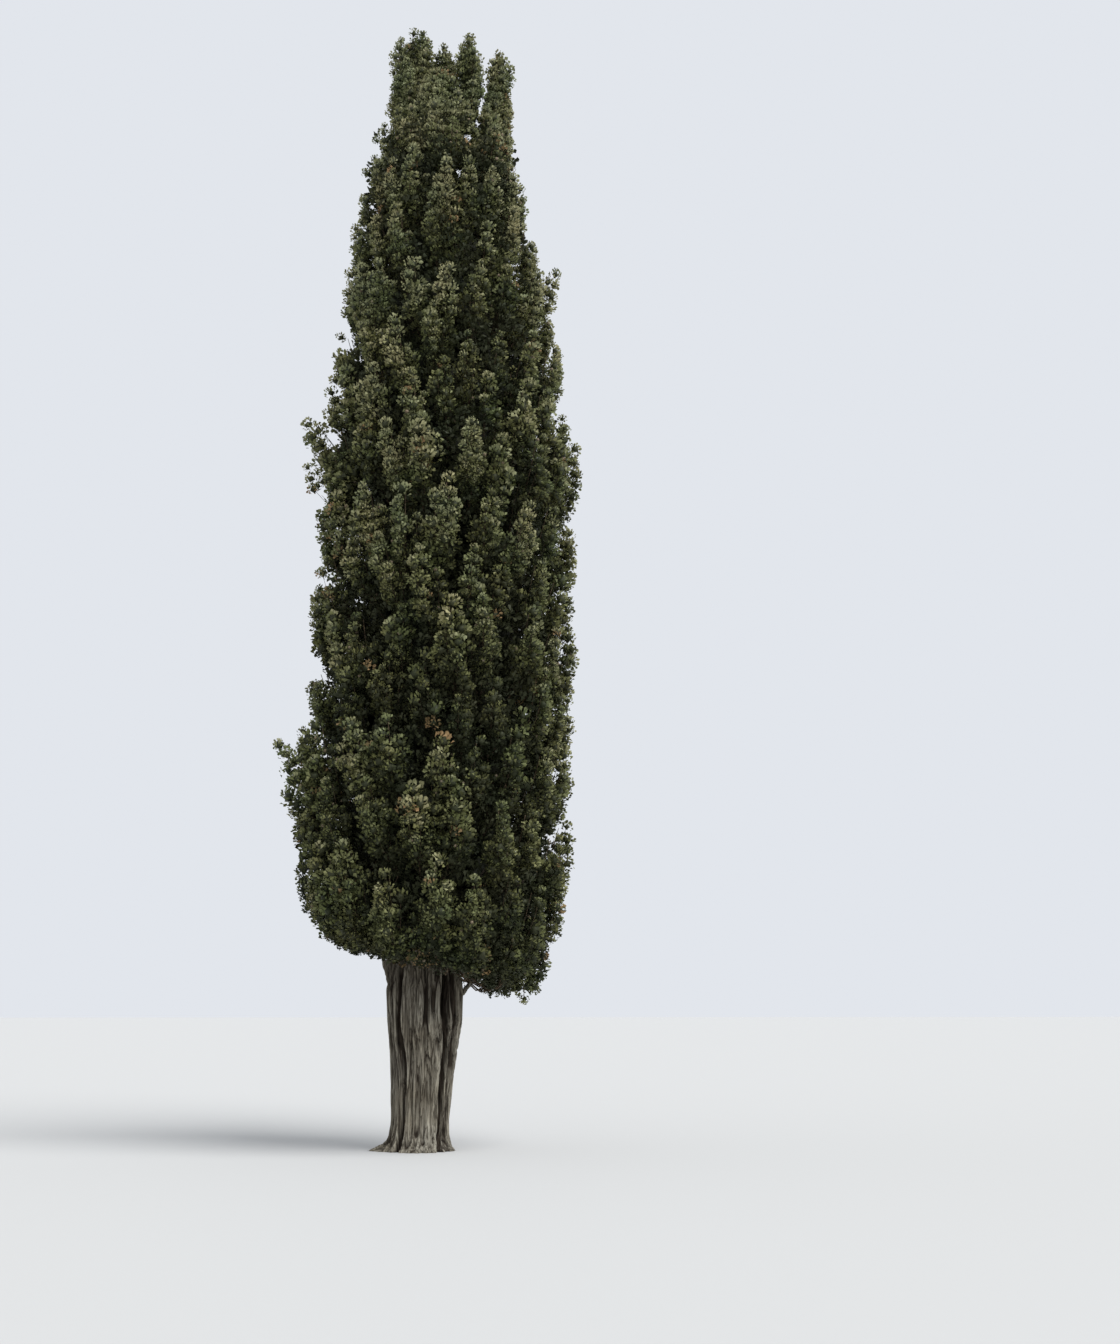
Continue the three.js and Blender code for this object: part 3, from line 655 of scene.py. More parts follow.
def upperStems():
    wood = Wood()
    heights = np.concatenate([np.linspace(*span) for span in stem["heights"]])
    line = [[*trunkAt(h)[:2], h] for h in heights]
    wood.limb(line, [trunkAt(h)[2] * stem["swell"] for h in heights], stem["sides"])
    for name, _, _, foot, _ in leaders:
        line = leaderLines[name]
        radii = taperedRadii(foot, leaderLine["tip"], len(line)) * stem["leaderSwell"]
        high = np.flatnonzero(line[:, 2] > stem["leadersFrom"])[::stem["leaderEvery"]]
        wood.limb(line[high], radii[high], stem["leaderSides"])
    return smoothed(wood.object("stems_bark"))


stemPiece = upperStems()

# Boughs from the trunk to each mass, and from the end of a limb up into each top
bough = {
    "rise": 0.2, "root": 0.8, "bendOut": 0.43, "bendUp": 0.16, "topLevel": 0.62, "topDepth": 0.74,
    "radii": (0.026, 0.011), "count": 12, "sides": 5,
}
topBough = {"drop": 0.2, "radii": (0.02, 0.006), "count": 8}
boughs = Wood()
boughLines = {}


def addBough(owner, points, plan):
    line = curveThrough(points, plan["count"])
    boughs.limb(line, np.linspace(*plan["radii"], len(line)), bough["sides"])
    boughLines[owner] = line


for mass in ringMasses:
    bearing = mass["bearing"]
    start = mass["foot"] + bough["rise"] * massHeight
    x, y, radius = trunkAt(start)
    first = polar(x, y, bearing, radius * bough["root"], start)
    bend = polar(x, y, bearing, bough["bendOut"], start + bough["bendUp"])
    height = mass["foot"] + massHeight * bough["topLevel"]
    shift, radius = crownAt(height, bearing)
    height -= ring["slant"] * radius * (1 - bough["topDepth"])
    top = polar(shift, 0, bearing, radius * bough["topDepth"], height)
    addBough(mass["name"], [first, bend, top], bough)
for tip in tips:
    onTrunk = tip["limb"] == "trunk"
    start = np.array([*trunkAt(trunkTop)[:2], trunkTop]) if onTrunk else leaderLines[tip["limb"]][-1]
    top = np.array([tip["x"], tip["y"], tip["top"] - topBough["drop"]])
    addBough(tip["name"], [start, lerp(start, top, 0.5), top], topBough)
print("boughs:", len(boughLines))

# Fingers of a plume: from and to along it, aside and outwards at the end, how thick, and how light, which is
# painted light on the foremost finger and painted shade on those set back at the sides
fingers = [
    (0.1, 1.0, 0.0, 0.5, 1.0, 0.1),
    (0.06, 0.6, -0.56, 0.0, 0.9, -0.15),
    (0.1, 0.72, 0.56, 0.05, 0.9, -0.1),
    (0.2, 0.84, -0.3, 0.9, 0.9, 0.0),
    (0.12, 0.66, 0.2, 1.0, 0.9, 0.0),
]
aroundFingers = [
    (0.1, 1.0, 0.0, 0.0, 1.0, 0.1),
    (0.05, 0.7, -0.6, 0.45, 0.9, -0.1),
    (0.08, 0.8, 0.6, 0.4, 0.85, -0.05),
    (0.05, 0.74, 0.1, -0.75, 0.85, -0.1),
]
fingerScatter = {"begin": 0.04, "end": 0.06, "aside": 0.15}
tuft = {
    "spacing": 0.122, "first": 0.35, "threeShare": 0.4, "radius": 0.32, "radiusScatter": 0.3,
    "taper": (0.2, 0.92), "taperPower": 0.6, "length": 0.142, "scatter": 0.3, "outward": 0.85,
    "upward": 0.6, "lift": 0.3, "jitter": 0.22, "spin": 1.2, "behind": -0.1, "turned": 0.3,
    "scale": (0.8, 1.1), "clear": 0.4, "fewest": 2, "seed": 7,
}
twig = {
    "plume": (0.011, 0.003), "plumeEnd": 0.96, "plumeCount": 9, "plumeSides": 4, "below": 0.25,
    "finger": (0.005, 0.002), "fingerEnd": 0.97, "fingerCount": 5, "fingerSides": 3,
    "tuft": 0.003, "tuftStart": 0.05, "tuftEnd": 0.2,
}

# Each spray takes one tone from a value that these add up to. The plume, top plume, finger and tuft shares
# are random tone; cap is painted light on a tuft's top, skirt painted shade on its sides, and rise painted
# light towards a finger's end and painted shade towards its foot
tones = ["deep", "dark", "mid", "light", "tip", "dry"]
toneEdges = [-0.5, -0.05, 0.42, 0.85]  # between the first five tones
shares = {
    "plume": 0.42, "topPlume": 0.6, "finger": 0.12, "tuft": 0.3, "cap": 0.42, "skirt": -0.42, "rise": 0.9,
    "dryPlume": 0.05, "dry": 0.008, "dryTufts": 0.1,
}
# A tuft is painted darker, as shade, where it lies back from the crown's face or its top's, and lighter
# where it stands proud, and only half grown where hidden
recess = {"edge": 0.9, "slope": 5.0, "range": (-0.8, 0.25), "hidden": 0.77}
topRecess = {"edge": 0.85, "slope": 1.4, "range": (-0.8, 0.2)}
# Less contrast low down; and painted shade low in the crown, painted light higher up
calm = {"height": (3.0, 6.0), "share": (0.75, 1.0)}
climb = {"height": (2.0, 3.5, 6.0, 9.0, 10.2, 11.0), "tone": (-0.5, -0.3, -0.05, 0.25, 0.7, 0.95)}
cones = {
    "share": 0.045, "dryShare": 0.3, "size": 0.034, "scatter": 0.15, "along": 0.34, "aside": 0.1,
    "kinds": 2, "scalesAround": 6, "uneven": 0.12,
}

twigs = Wood()
sprays = {tone: [] for tone in tones}
hearts, coneRows, twigRoots, twigEnds = [], [], [], []
random = np.random.default_rng(tuft["seed"])
kindsOfEach = 4
capKind = 0
skirtKind = capKind + kindsOfEach
heartKindCount = 2


def middleAt(shape, t):
    bow = shape["out"] * shape["depth"] * plume["bow"] * math.sin(math.pi * t)
    return shape["foot"] + shape["axis"] * shape["length"] * t + bow


def addSpray(shape, value, row, kind):
    dry = random.random() < shape["dry"]
    tone = "dry" if dry else tones[int(np.searchsorted(toneEdges, value))]
    sprays[tone].append((*row, kind + int(random.random() * kindsOfEach)))


# How far out a place is, with the crown's face at 1, or a top's own; a hanging plume has neither
def proudOf(shape, place):
    if not shape["around"]:
        shift, edge = crownAt(place[2], shape["bearing"])
        return math.hypot(place[0] - shift, place[1]) / edge
    if shape["owner"] not in topNamed:
        return None
    top = topNamed[shape["owner"]]
    return math.hypot(place[0] - top["x"], place[1] - top["y"]) / top["half"]


def growTuft(shape, core, away, radius, u, lighter):
    place = core + away * radius * (1 + swing(random, tuft["radiusScatter"]))
    direction = unit(
        away * (tuft["outward"] if radius else 0) + shape["axis"] * tuft["upward"] + up * tuft["lift"]
        + random.normal(size=3) * tuft["jitter"]
    )
    size = tuft["length"] * shape["scale"] * (1 + swing(random, tuft["scatter"]))
    if inOpening(place, size * tuft["clear"]):
        return
    # random tone, with painted light towards the finger's end and painted shade towards its foot
    value = shape["tone"] + swing(random, shares["tuft"]) + shares["rise"] * (u - 0.5)
    proud = proudOf(shape, place)
    if proud is not None:
        plan = topRecess if shape["around"] else recess
        # painted shade where the tuft lies back from the face, painted light where it stands proud
        value += clamp(plan["slope"] * (proud - plan["edge"]), *plan["range"])
    value = (value + lighter) * np.interp(place[2], calm["height"], calm["share"])
    # painted shade low in the crown and painted light high up
    value += np.interp(place[2], climb["height"], climb["tone"])
    twigRoots.append(core - shape["axis"] * twig["tuftStart"])
    twigEnds.append(place + direction * size * twig["tuftEnd"])
    row = (*place, *direction, size)
    # painted light on the tuft's cap, painted shade on its skirt below
    addSpray(shape, value + shares["cap"], row, capKind)
    if shape["around"] or proud >= recess["hidden"]:
        addSpray(shape, value + shares["skirt"], row, skirtKind)
        hearts.append((*row, int(random.random() * heartKindCount)))
    if random.random() < (cones["dryShare"] if shape["dry"] > shares["dry"] else cones["share"]):
        spot = place + direction * size * cones["along"] + random.normal(size=3) * size * cones["aside"]
        coneSize = cones["size"] * (1 + swing(random, cones["scatter"]))
        coneRows.append((*spot, *direction, coneSize, int(random.random() * cones["kinds"])))


def growFinger(shape, number, finger):
    begin, end, aside, outward, thick, lighter = finger
    begin += swing(random, fingerScatter["begin"])
    end += swing(random, fingerScatter["end"]) if number else 0
    aside += swing(random, fingerScatter["aside"])
    # the finger's painted light or shade, with a random tone added
    lighter += swing(random, shares["finger"])
    side, out = shape["side"], shape["out"]
    offset = side * aside * shape["half"] + out * outward * shape["depth"]

    def fingerAt(u):
        return middleAt(shape, lerp(begin, end, u)) + offset * (1 - (1 - u) ** 2)

    if number:  # the first finger has the plume's own twig
        spine = np.array([fingerAt(u) for u in np.linspace(0, twig["fingerEnd"], twig["fingerCount"])])
        addTwig(shape, spine, twig["finger"], twig["fingerSides"])
    spaces = int(shape["length"] * (end - begin) / (tuft["spacing"] * shape["scale"]))
    levels = max(tuft["fewest"], spaces)
    wide = tuft["radius"] * shape["half"] * thick
    for level in range(levels + 1):
        u = (level + tuft["first"]) / (levels + tuft["first"])
        last = level == levels
        around = 1 if last else (3 if random.random() < tuft["threeShare"] else 2)
        radius = 0.0 if last else wide * math.sin(math.pi * lerp(*tuft["taper"], u)) ** tuft["taperPower"]
        spin = level * goldenAngle + random.random() * tuft["spin"]
        for k in range(around):
            angle = spin + k * fullTurn / around
            away = side * math.cos(angle) + out * math.sin(angle)
            free = last or shape["stray"] or shape["around"]
            if free or away.dot(out) + outward * tuft["turned"] >= tuft["behind"]:
                growTuft(shape, fingerAt(u), away, radius, u, lighter)


def addTwig(shape, line, radii, sides):
    if not shape["stray"]:
        line = clearOf(line)
    if len(line) > 1:
        twigs.limb(line, np.linspace(*radii, len(line)), sides)


def growPlume(shape):
    foot, tip = shape["foot"], shape["tip"]
    shape["length"] = np.linalg.norm(tip - foot)
    shape["axis"] = (tip - foot) / shape["length"]
    out = polar(0, 0, shape["bearing"], 1, 0)
    shape["out"] = unit(out - shape["axis"] * out.dot(shape["axis"]))
    shape["side"] = np.cross(shape["axis"], shape["out"])
    shape["scale"] = clamp(shape["half"] / plume["half"], *tuft["scale"])
    shape["tone"] = swing(random, shares["topPlume" if shape["around"] else "plume"])
    if not shape["around"]:
        # painted shade on the plumes in the valleys, painted light on those outside them
        shape["tone"] += valleys["tone"] * (valleys["level"] - valleyAt(shape["bearing"], tip[2]))
    shape["dry"] = shares["dryTufts" if random.random() < shares["dryPlume"] else "dry"]
    line = boughLines[shape["owner"]]
    nearest = line[np.argmin(np.linalg.norm(line - (foot - up * twig["below"]), axis=1))]
    points = [nearest, foot, middleAt(shape, 0.5), middleAt(shape, twig["plumeEnd"])]
    addTwig(shape, curveThrough(points, twig["plumeCount"]), twig["plume"], twig["plumeSides"])
    for number, finger in enumerate(aroundFingers if shape["around"] else fingers):
        growFinger(shape, number, finger)


for shape in plumes:
    growPlume(shape)
twigs.shortTwigs(twigRoots, twigEnds, twig["tuft"])
print("tufts:", len(twigRoots), "sprays:", {tone: len(rows) for tone, rows in sprays.items()})

# Close growth in the crown, which shuts out the light: sprays, knots nearer its heart, a lid under the tops
inner = {
    "rows": 78, "places": 66, "low": 0.12, "high": 11.6, "aside": 0.5, "up": 0.6, "fullRadius": 1.5,
    "least": 0.1, "tilt": 0.9, "rise": 1.0, "depth": (0.56, 0.84), "size": 0.2,
}
# Knots are painted shade: they take the deepest green, darker still
knot = {
    "share": 0.85, "depth": (0.25, 0.56), "size": 0.46, "high": 10.9, "up": 0.1, "clear": 0.33,
    "darker": 0.45,
}
lid = {"count": 420, "height": 11.25, "high": 0.35, "fall": 0.9, "depth": 0.84, "size": 0.17, "rise": 0.8}
close = {"jitter": 0.3, "scatter": 0.2, "clear": 0.5, "kinds": 8}
innerSprays, knots = [], []


def closeDirection(bearing, tilt, rise):
    return unit(polar(0, 0, bearing, tilt, rise) + random.normal(size=3) * close["jitter"])


# Adds one row of close growth, unless it stands in an opening
def addClose(rows, place, direction, size, clear, kind):
    if inOpening(place, size * clear):
        return False
    rows.append((*place, *direction, size * (1 + swing(random, close["scatter"])), kind))
    return True


def growInner(i, j):
    bearing = (j + 0.5 * (i % 2) + inner["aside"] * random.random()) / inner["places"] * fullTurn
    foot = footAt(bearing) + inner["low"]
    height = lerp(foot, inner["high"], (i + inner["up"] * random.random()) / inner["rows"])
    shift, radius = crownAt(height, bearing)
    if random.random() > radius / inner["fullRadius"] + inner["least"]:
        return
    direction = closeDirection(bearing, inner["tilt"], inner["rise"])
    place = polar(shift, 0, bearing, radius * lerp(*inner["depth"], random.random()), height)
    if not addClose(innerSprays, place, direction, inner["size"], close["clear"], (i + j) % close["kinds"]):
        return
    if random.random() < knot["share"] and height < knot["high"]:
        reach = radius * lerp(*knot["depth"], random.random())
        place = polar(shift, 0, bearing, reach, height + knot["up"])
        addClose(knots, place, direction, knot["size"], knot["clear"], j % heartKindCount)


def growLid(i):
    bearing = random.random() * fullTurn
    out = lid["depth"] * math.sqrt(random.random())
    height = lid["height"] + lid["high"] * random.random() - lid["fall"] * out**2
    shift, radius = crownAt(height, bearing)
    direction = closeDirection(bearing, out, lid["rise"])
    place = polar(shift, 0, bearing, radius * out, height)
    addClose(innerSprays, place, direction, lid["size"], close["clear"], i % close["kinds"])


for i in range(inner["rows"]):
    for j in range(inner["places"]):
        growInner(i, j)
for i in range(lid["count"]):
    growLid(i)
print("inner sprays:", len(innerSprays), "knots:", len(knots))

# A spray's blades stand on a dome: a cap has its crown, a skirt its sides, a heart the growth inside
spray = {
    "cap": {"blades": 14, "from": 4, "to": 62}, "skirt": {"blades": 16, "from": 58, "to": 118},
    "tiltScatter": 0.04, "turnScatter": 0.25, "alongScatter": 0.12, "faceScatter": 0.25,
    "reach": (0.5, 0.66), "length": 0.29, "lengthScatter": 0.25, "halfWidth": 0.095, "widthScatter": 0.2,
    "widest": 0.72, "fold": 0.05, "lay": 0.5, "dome": 0.6, "upward": 0.4, "heart": (0.2805, 0.3795),
}


def bladeSpray(name, plan, seed):
    draw = np.random.default_rng(seed)
    low, high = math.cos(math.radians(plan["from"])), math.cos(math.radians(plan["to"]))
    points, faces = [], []
    for k in range(plan["blades"]):
        level = lerp(low, high, (k + 0.5) / plan["blades"]) + draw.normal() * spray["tiltScatter"]
        tilt = math.acos(clamp(level, -1, 1))
        turn = k * goldenAngle + seed + draw.normal() * spray["turnScatter"]
        dome = polar(0, 0, turn, math.sin(tilt), math.cos(tilt))
        lay = np.cross(dome, unit(draw.normal(size=3))) * spray["lay"] + up * spray["upward"]
        along = unit(dome * spray["dome"] + lay + draw.normal(size=3) * spray["alongScatter"])
        face = unit(dome - along * dome.dot(along) + draw.normal(size=3) * spray["faceScatter"])
        face = unit(face - along * face.dot(along))
        across = np.cross(along, face)
        length = spray["length"] * (1 + swing(draw, spray["lengthScatter"]))
        start = dome * lerp(*spray["reach"], draw.random()) - along * length
        width = spray["halfWidth"] * (1 + swing(draw, spray["widthScatter"]))
        middle = start + along * length * spray["widest"] - face * spray["fold"]
        first = len(points)
        points += [start, middle + across * width, start + along * length, middle - across * width]
        faces += [(first, first + 1, first + 2), (first, first + 2, first + 3)]
    return meshObject(name, points, faces)


def heartShape(name, seed):
    draw = np.random.default_rng(seed)
    corners = np.array([(1, 0, 0), (0, 1, 0), (-1, 0, 0), (0, -1, 0), (0, 0, 1), (0, 0, -1)], float)
    corners *= lerp(*spray["heart"], draw.random((6, 1)))
    faces = [(0, 1, 4), (1, 2, 4), (2, 3, 4), (3, 0, 4), (1, 0, 5), (2, 1, 5), (3, 2, 5), (0, 3, 5)]
    return meshObject(name, corners, faces)


# A ripe cone: a small ball of shield-like scales in three rows, of unit width
def coneShape(name, seed):
    draw = np.random.default_rng(seed)
    around = cones["scalesAround"]
    rows = [1, 1 + around, 1 + 2 * around]  # the first point of each
    points, faces = [(0, 0, 0.5)], []
    for level in range(len(rows)):
        tilt = math.pi * (level + 1) / (len(rows) + 1)
        for k in range(around):
            turn = (k + 0.5 * level) / around * fullTurn
            radius = 0.5 * (1 + swing(draw, cones["uneven"]))
            points.append(polar(0, 0, turn, radius * math.sin(tilt), radius * math.cos(tilt)))
    points.append((0, 0, -0.5))
    for k in range(around):
        after = (k + 1) % around
        faces.append((0, rows[0] + k, rows[0] + after))
        faces.append((len(points) - 1, rows[-1] + after, rows[-1] + k))
        for a, b in zip(rows, rows[1:]):
            faces += [(a + k, b + k, a + after), (a + after, b + k, b + after)]
    return meshObject(name, points, faces)


def gathered(name, things):
    group = bpy.data.collections.new(name)
    for thing in things:
        group.objects.link(thing)
    return group


bladeSprays = []
for form, first in (("cap", capKind), ("skirt", skirtKind)):
    for i in range(first, first + kindsOfEach):
        bladeSprays.append(bladeSpray(f"kind_{i}_{form}", spray[form], i))
sprayKinds = gathered("spray_kinds", bladeSprays)
heartKinds = gathered("heart_kinds", [heartShape(f"heart_{i}", i) for i in range(heartKindCount)])
coneKinds = gathered("cone_kinds", [coneShape(f"cone_{i}", i) for i in range(cones["kinds"])])


# Adds a node to a tree, with a link or a plain value for each input given
def addNode(tree, kind, inputs, **settings):
    node = tree.nodes.new(kind)
    for name, value in settings.items():
        setattr(node, name, value)
    for key, value in inputs.items():
        if isinstance(value, bpy.types.NodeSocket):
            tree.links.new(value, node.inputs[key])
        else:
            node.inputs[key].default_value = value
    return node.outputs


# A spray on each point, turned and sized as the point says, then made real
def sprayTree():
    tree = bpy.data.node_groups.new("sprays_on_twigs", "GeometryNodeTree")
    sockets = {
        "Points": "Geometry", "Sprays": "Collection", "Size": "Float", "Size scatter": "Float",
        "Seed": "Int", "Finish": "Material",
    }
    for name, kind in sockets.items():
        tree.interface.new_socket(name, in_out="INPUT", socket_type="NodeSocket" + kind)
    tree.interface.new_socket("Foliage", in_out="OUTPUT", socket_type="NodeSocketGeometry")
    given = addNode(tree, "NodeGroupInput", {})

    def noted(name, kind):
        return addNode(tree, "GeometryNodeInputNamedAttribute", {"Name": name}, data_type=kind)["Attribute"]

    def maths(operation, first, second):
        return addNode(tree, "ShaderNodeMath", {0: first, 1: second}, operation=operation)[0]

    picked = {"Collection": given["Sprays"], "Separate Children": True, "Reset Children": True}
    kinds = addNode(tree, "GeometryNodeCollectionInfo", picked)
    limits = {  # sockets 2 and 3 are the least and the most
        2: maths("SUBTRACT", 1.0, given["Size scatter"]), 3: maths("ADD", 1.0, given["Size scatter"]),
        "Seed": given["Seed"],
    }
    scatter = addNode(tree, "FunctionNodeRandomValue", limits, data_type="FLOAT")
    size = maths("MULTIPLY", noted("size", "FLOAT"), scatter[1])
    turn = addNode(tree, "FunctionNodeEulerToRotation", {0: noted("turn", "FLOAT_VECTOR")})
    stand = addNode(tree, "GeometryNodeInstanceOnPoints", {
        "Points": given["Points"], "Instance": kinds[0], "Pick Instance": True, "Rotation": turn[0],
        "Instance Index": noted("kind", "INT"), "Scale": maths("MULTIPLY", size, given["Size"]),
    })
    real = addNode(tree, "GeometryNodeRealizeInstances", {0: stand[0]})
    foliage = addNode(tree, "GeometryNodeSetMaterial", {"Geometry": real[0], "Material": given["Finish"]})
    addNode(tree, "NodeGroupOutput", {"Foliage": foliage[0]})
    return tree


sprayNodes = sprayTree()
sprayInputs = [item for item in sprayNodes.interface.items_tree if item.in_out == "INPUT"]
socketIds = {item.name: item.identifier for item in sprayInputs}


# The turns that set a spray's own up along each direction, after a spin about it
def eulerTo(directions, spins):
    z = directions
    x = unitRows(np.cross(awayFrom(z), z))
    y = np.cross(z, x)
    c, s = np.cos(spins)[:, None], np.sin(spins)[:, None]
    x, y = x * c + y * s, y * c - x * s
    turns = [np.arctan2(y[:, 2], z[:, 2]), np.arcsin(np.clip(-x[:, 2], -1, 1)), np.arctan2(x[:, 1], x[:, 0])]
    return np.stack(turns, axis=1)


grown = {"size": 1.0, "scatter": 0.15, "seed": 10, "coneSeed": 90}


# One mesh of sprays, from rows of place, direction, size and kind
def growSprays(name, rows, kinds, material, seed):
    rows = np.array(rows)
    thing = meshObject(name, rows[:, :3].tolist(), [])
    scene.collection.objects.link(thing)
    attributes = thing.data.attributes
    turns = eulerTo(rows[:, 3:6], np.random.default_rng(seed).random(len(rows)) * fullTurn)
    attributes.new("turn", "FLOAT_VECTOR", "POINT").data.foreach_set("vector", turns.ravel())
    attributes.new("size", "FLOAT", "POINT").data.foreach_set("value", rows[:, 6])
    attributes.new("kind", "INT", "POINT").data.foreach_set("value", rows[:, 7].astype(np.int32))
    nodes = thing.modifiers.new("sprays", "NODES")
    nodes.node_group = sprayNodes
    nodes[socketIds["Sprays"]] = kinds
    nodes[socketIds["Size"]] = grown["size"]
    nodes[socketIds["Size scatter"]] = grown["scatter"]
    nodes[socketIds["Seed"]] = seed
    nodes[socketIds["Finish"]] = material
    return smoothed(settled(thing))


# A material with one surface, and short ways to add to its nodes
class Finish:
    def __init__(self, name):
        self.material = bpy.data.materials.new(name)
        self.material.use_nodes = True
        self.material.node_tree.nodes.clear()
        self.places = self.add("ShaderNodeTexCoord", {})["Object"]

    def add(self, kind, inputs, **settings):
        return addNode(self.material.node_tree, kind, inputs, **settings)

    def stretched(self, scale):
        return self.add("ShaderNodeMapping", {"Vector": self.places, "Scale": scale})["Vector"]

    def noise(self, places, scale, detail=2.0, roughness=0.5, distortion=0.0):
        values = {"Scale": scale, "Detail": detail, "Roughness": roughness, "Distortion": distortion}
        return self.add("ShaderNodeTexNoise", {"Vector": places, **values})["Fac"]

    def ramp(self, value, *stops):
        result = self.add("ShaderNodeValToRGB", {"Fac": value})["Color"]
        elements = result.node.color_ramp.elements
        elements[0].position = stops[0][0]
        elements[1].position = stops[-1][0]
        for position, _ in stops[1:-1]:
            elements.new(position)
        for element, (_, colour) in zip(elements, stops):
            element.color = (*colour, 1)
        return result

    def maths(self, operation, *values):
        return self.add("ShaderNodeMath", dict(enumerate(values)), operation=operation)[0]

    def times(self, first, second):  # sockets 6 and 7 are the two colours, and result 2 is a colour
        inputs = {0: 1.0, 6: first, 7: second}
        return self.add("ShaderNodeMix", inputs, data_type="RGBA", blend_type="MULTIPLY")[2]

    def finished(self, look, colour, height=None):
        inputs = {"Base Color": colour, "Roughness": look["roughness"], "Specular IOR Level": look["gloss"]}
        if height is not None:
            raised = {"Strength": look["bump"], "Distance": look["bumpDepth"], "Height": height}
            inputs["Normal"] = self.add("ShaderNodeBump", raised)["Normal"]
        surface = self.add("ShaderNodeBsdfPrincipled", inputs)
        self.add("ShaderNodeOutputMaterial", {0: surface[0]})
        return self.material


# Foliage: scaly cords of one green, cooler in some places and warmer in others
foliageLook = {
    "cool": (0.7, 0.8, 0.73), "warm": (1.32, 1.2, 1.15), "patches": (2.4, 3.0), "patchEdges": (0.3, 0.72),
    "scales": 260.0, "bump": 0.4, "bumpDepth": 0.003, "roughness": 0.62, "gloss": 0.22,
}
# The tones are lit and shaded copies of one green: deep and dark are painted shade, light and tip painted
# light, as the value a spray is dealt says; the random tone in that value also moves sprays between them,
# and dry is the foliage's own colour
greens = {
    "deep": (0.031, 0.035, 0.016),
    "dark": (0.068, 0.073, 0.028),
    "mid": (0.121, 0.129, 0.050),
    "light": (0.172, 0.181, 0.081),
    "tip": (0.236, 0.238, 0.130),
    "dry": (0.25, 0.17, 0.085),
}


def foliageMaterial(name, colour):
    look = foliageLook
    finish = Finish(name)
    patch = finish.noise(finish.places, *look["patches"])
    scales = finish.noise(finish.places, look["scales"])
    ends = [[c * k for c, k in zip(colour, look[end])] for end in ("cool", "warm")]
    return finish.finished(look, finish.ramp(patch, *zip(look["patchEdges"], ends)), scales)


# Bark: ridges over fibres, near black in the fissures, which run up the stem
barkLook = {
    "stretch": (1.0, 1.0, 0.06), "fibres": (46.0, 8.0, 0.72), "fibreEdges": (0.38, 0.47, 0.62),
    "patches": (2.2, 3.0), "patchEdges": (0.35, 0.7), "patchDark": (0.78, 0.74, 0.68),
    "splits": (19.0, 5.0, 0.5, 0.4), "splitEdges": (0.0, 0.035), "splitDark": (0.3, 0.28, 0.26),
    # the trunk's note of painted shade and light comes into the colour through this ramp
    "reliefEdges": (0.1, 0.96), "reliefDark": (0.12, 0.1, 0.09), "bump": 0.8, "bumpDepth": 0.008,
    "roughness": 0.92, "gloss": 0.15,
}
barkColours = {  # ridges, fibres and fissures
    "trunk bark": ((0.435, 0.412, 0.34), (0.238, 0.22, 0.178), (0.072, 0.063, 0.05)),
    "stem bark": ((0.2, 0.17, 0.14), (0.1, 0.08, 0.06), (0.03, 0.024, 0.02)),
    "twig bark": ((0.17, 0.13, 0.085), (0.1, 0.075, 0.05), (0.04, 0.03, 0.02)),
    "cone scales": ((0.30, 0.255, 0.19), (0.2, 0.16, 0.11), (0.09, 0.07, 0.05)),
}


def barkMaterial(name, relief=False):
    look = barkLook
    finish = Finish(name)
    stretched = finish.stretched(look["stretch"])
    fibre = finish.noise(stretched, *look["fibres"])
    # Where a second noise passes through its middle there is a sharp dark line
    split = finish.maths("ABSOLUTE", finish.maths("SUBTRACT", finish.noise(stretched, *look["splits"]), 0.5))
    shades = {"patch": finish.noise(finish.places, *look["patches"]), "split": split}
    # painted shade and light noted on the trunk: fissures, plates, hollows and the crown's shadow
    if relief:
        shades["relief"] = finish.add("ShaderNodeAttribute", {}, attribute_name="relief")["Fac"]
    colour = finish.ramp(fibre, *zip(look["fibreEdges"], reversed(barkColours[name])))
    for shade, value in shades.items():
        ends = (look[shade + "Dark"], (1.0, 1.0, 1.0))
        colour = finish.times(colour, finish.ramp(value, *zip(look[shade + "Edges"], ends)))
    return finish.finished(look, colour, fibre)


# Gives a piece its finish and its place in the frame
def install(thing, material, nodes=()):
    thing.data.materials.clear()
    thing.data.materials.append(material)
    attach(thing, "root")
    if nodes:
        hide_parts(*nodes)


stemFinish = barkMaterial("stem bark")
trunkNodes = ["trunk"] + [plan[0] for plan in lowBoughs]
install(trunkPiece, barkMaterial("trunk bark", relief=True), trunkNodes)
install(stemPiece, stemFinish, [plan[0] for plan in leaders])
install(smoothed(boughs.object("boughs")), stemFinish)
install(smoothed(twigs.object("twigs")), barkMaterial("twig bark"))

# Foliage pieces, each tone cut into layers by height where it has too many triangles for one
mostTriangles = 185000
massNames = sorted(name for name in frame["nodes"] if name.startswith(("foliage_", "top_")))
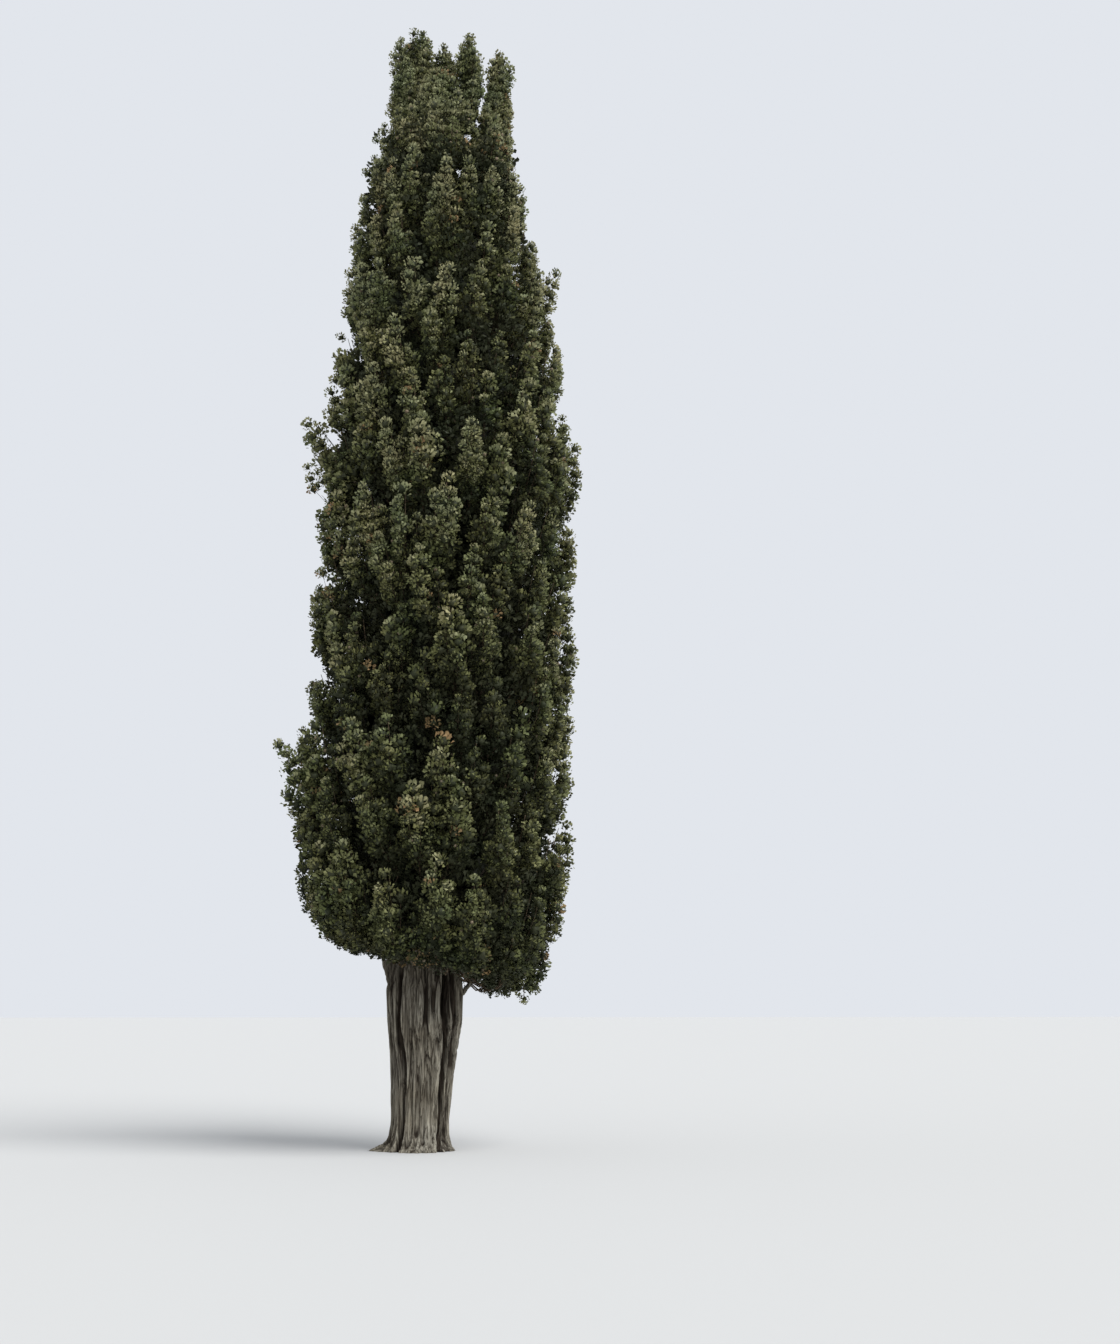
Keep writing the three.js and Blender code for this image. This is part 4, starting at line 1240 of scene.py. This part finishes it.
# Painted shade: the close growth, knots and hearts inside the crown take the deepest green, the knots darker
# still
knotShadeGreen = tuple(knot["darker"] * c for c in greens["deep"])
growth = [
    ("inner", innerSprays, greens["deep"], sprayKinds), ("knot", knots, knotShadeGreen, heartKinds),
    ("heart", hearts, greens["deep"], heartKinds),
]
growth += [(tone, sprays[tone], greens[tone], sprayKinds) for tone in tones]
total = 0
for order, (tone, rows, colour, kinds) in enumerate(growth):
    material = foliageMaterial(f"{tone} foliage", colour)
    rows = sorted(rows, key=lambda row: row[2])
    faceCounts = [len(thing.data.polygons) for thing in kinds.objects]
    parts = math.ceil(sum(faceCounts[row[7]] for row in rows) / mostTriangles)
    for part in range(parts):
        chosen = rows[part * len(rows) // parts:(part + 1) * len(rows) // parts]
        name = f"foliage_{tone}" if parts == 1 else f"foliage_{tone}_{part + 1}"
        piece = growSprays(name, chosen, kinds, material, grown["seed"] * (order + 1) + part)
        install(piece, material, massNames)
        total += len(piece.data.polygons)
        print(name, len(piece.data.polygons))
print("foliage triangles:", total)

coneFinish = barkMaterial("cone scales")
conePiece = growSprays("cones", coneRows, coneKinds, coneFinish, grown["coneSeed"])
install(conePiece, coneFinish)
print("cones:", len(coneRows), "faces:", len(conePiece.data.polygons))

# Floor and light: a pale dome all round, and one wide soft lamp
light = {
    "dome": (0.76, 0.79, 0.84), "domeStrength": 1.0, "lamp": 3.1, "lampAngle": 40, "turn": (38, 0, 44),
}
floorLook = {"colour": (0.5, 0.5, 0.49), "half": 150.0, "roughness": 0.9, "gloss": 0.5}
world = bpy.data.worlds.new("pale dome")
world.use_nodes = True
dome = world.node_tree.nodes["Background"].inputs
dome["Color"].default_value = (*light["dome"], 1)
dome["Strength"].default_value = light["domeStrength"]
scene.world = world
lampData = bpy.data.lights.new("soft light", "SUN")
lampData.energy = light["lamp"]
lampData.angle = math.radians(light["lampAngle"])
lamp = bpy.data.objects.new("soft light", lampData)
lamp.rotation_euler = [math.radians(a) for a in light["turn"]]
scene.collection.objects.link(lamp)

h = floorLook["half"]
floor = meshObject("floor", [(-h, -h, 0), (h, -h, 0), (h, h, 0), (-h, h, 0)], [(0, 1, 2, 3)])
scene.collection.objects.link(floor)
floor.data.materials.append(Finish("pale floor").finished(floorLook, (*floorLook["colour"], 1)))
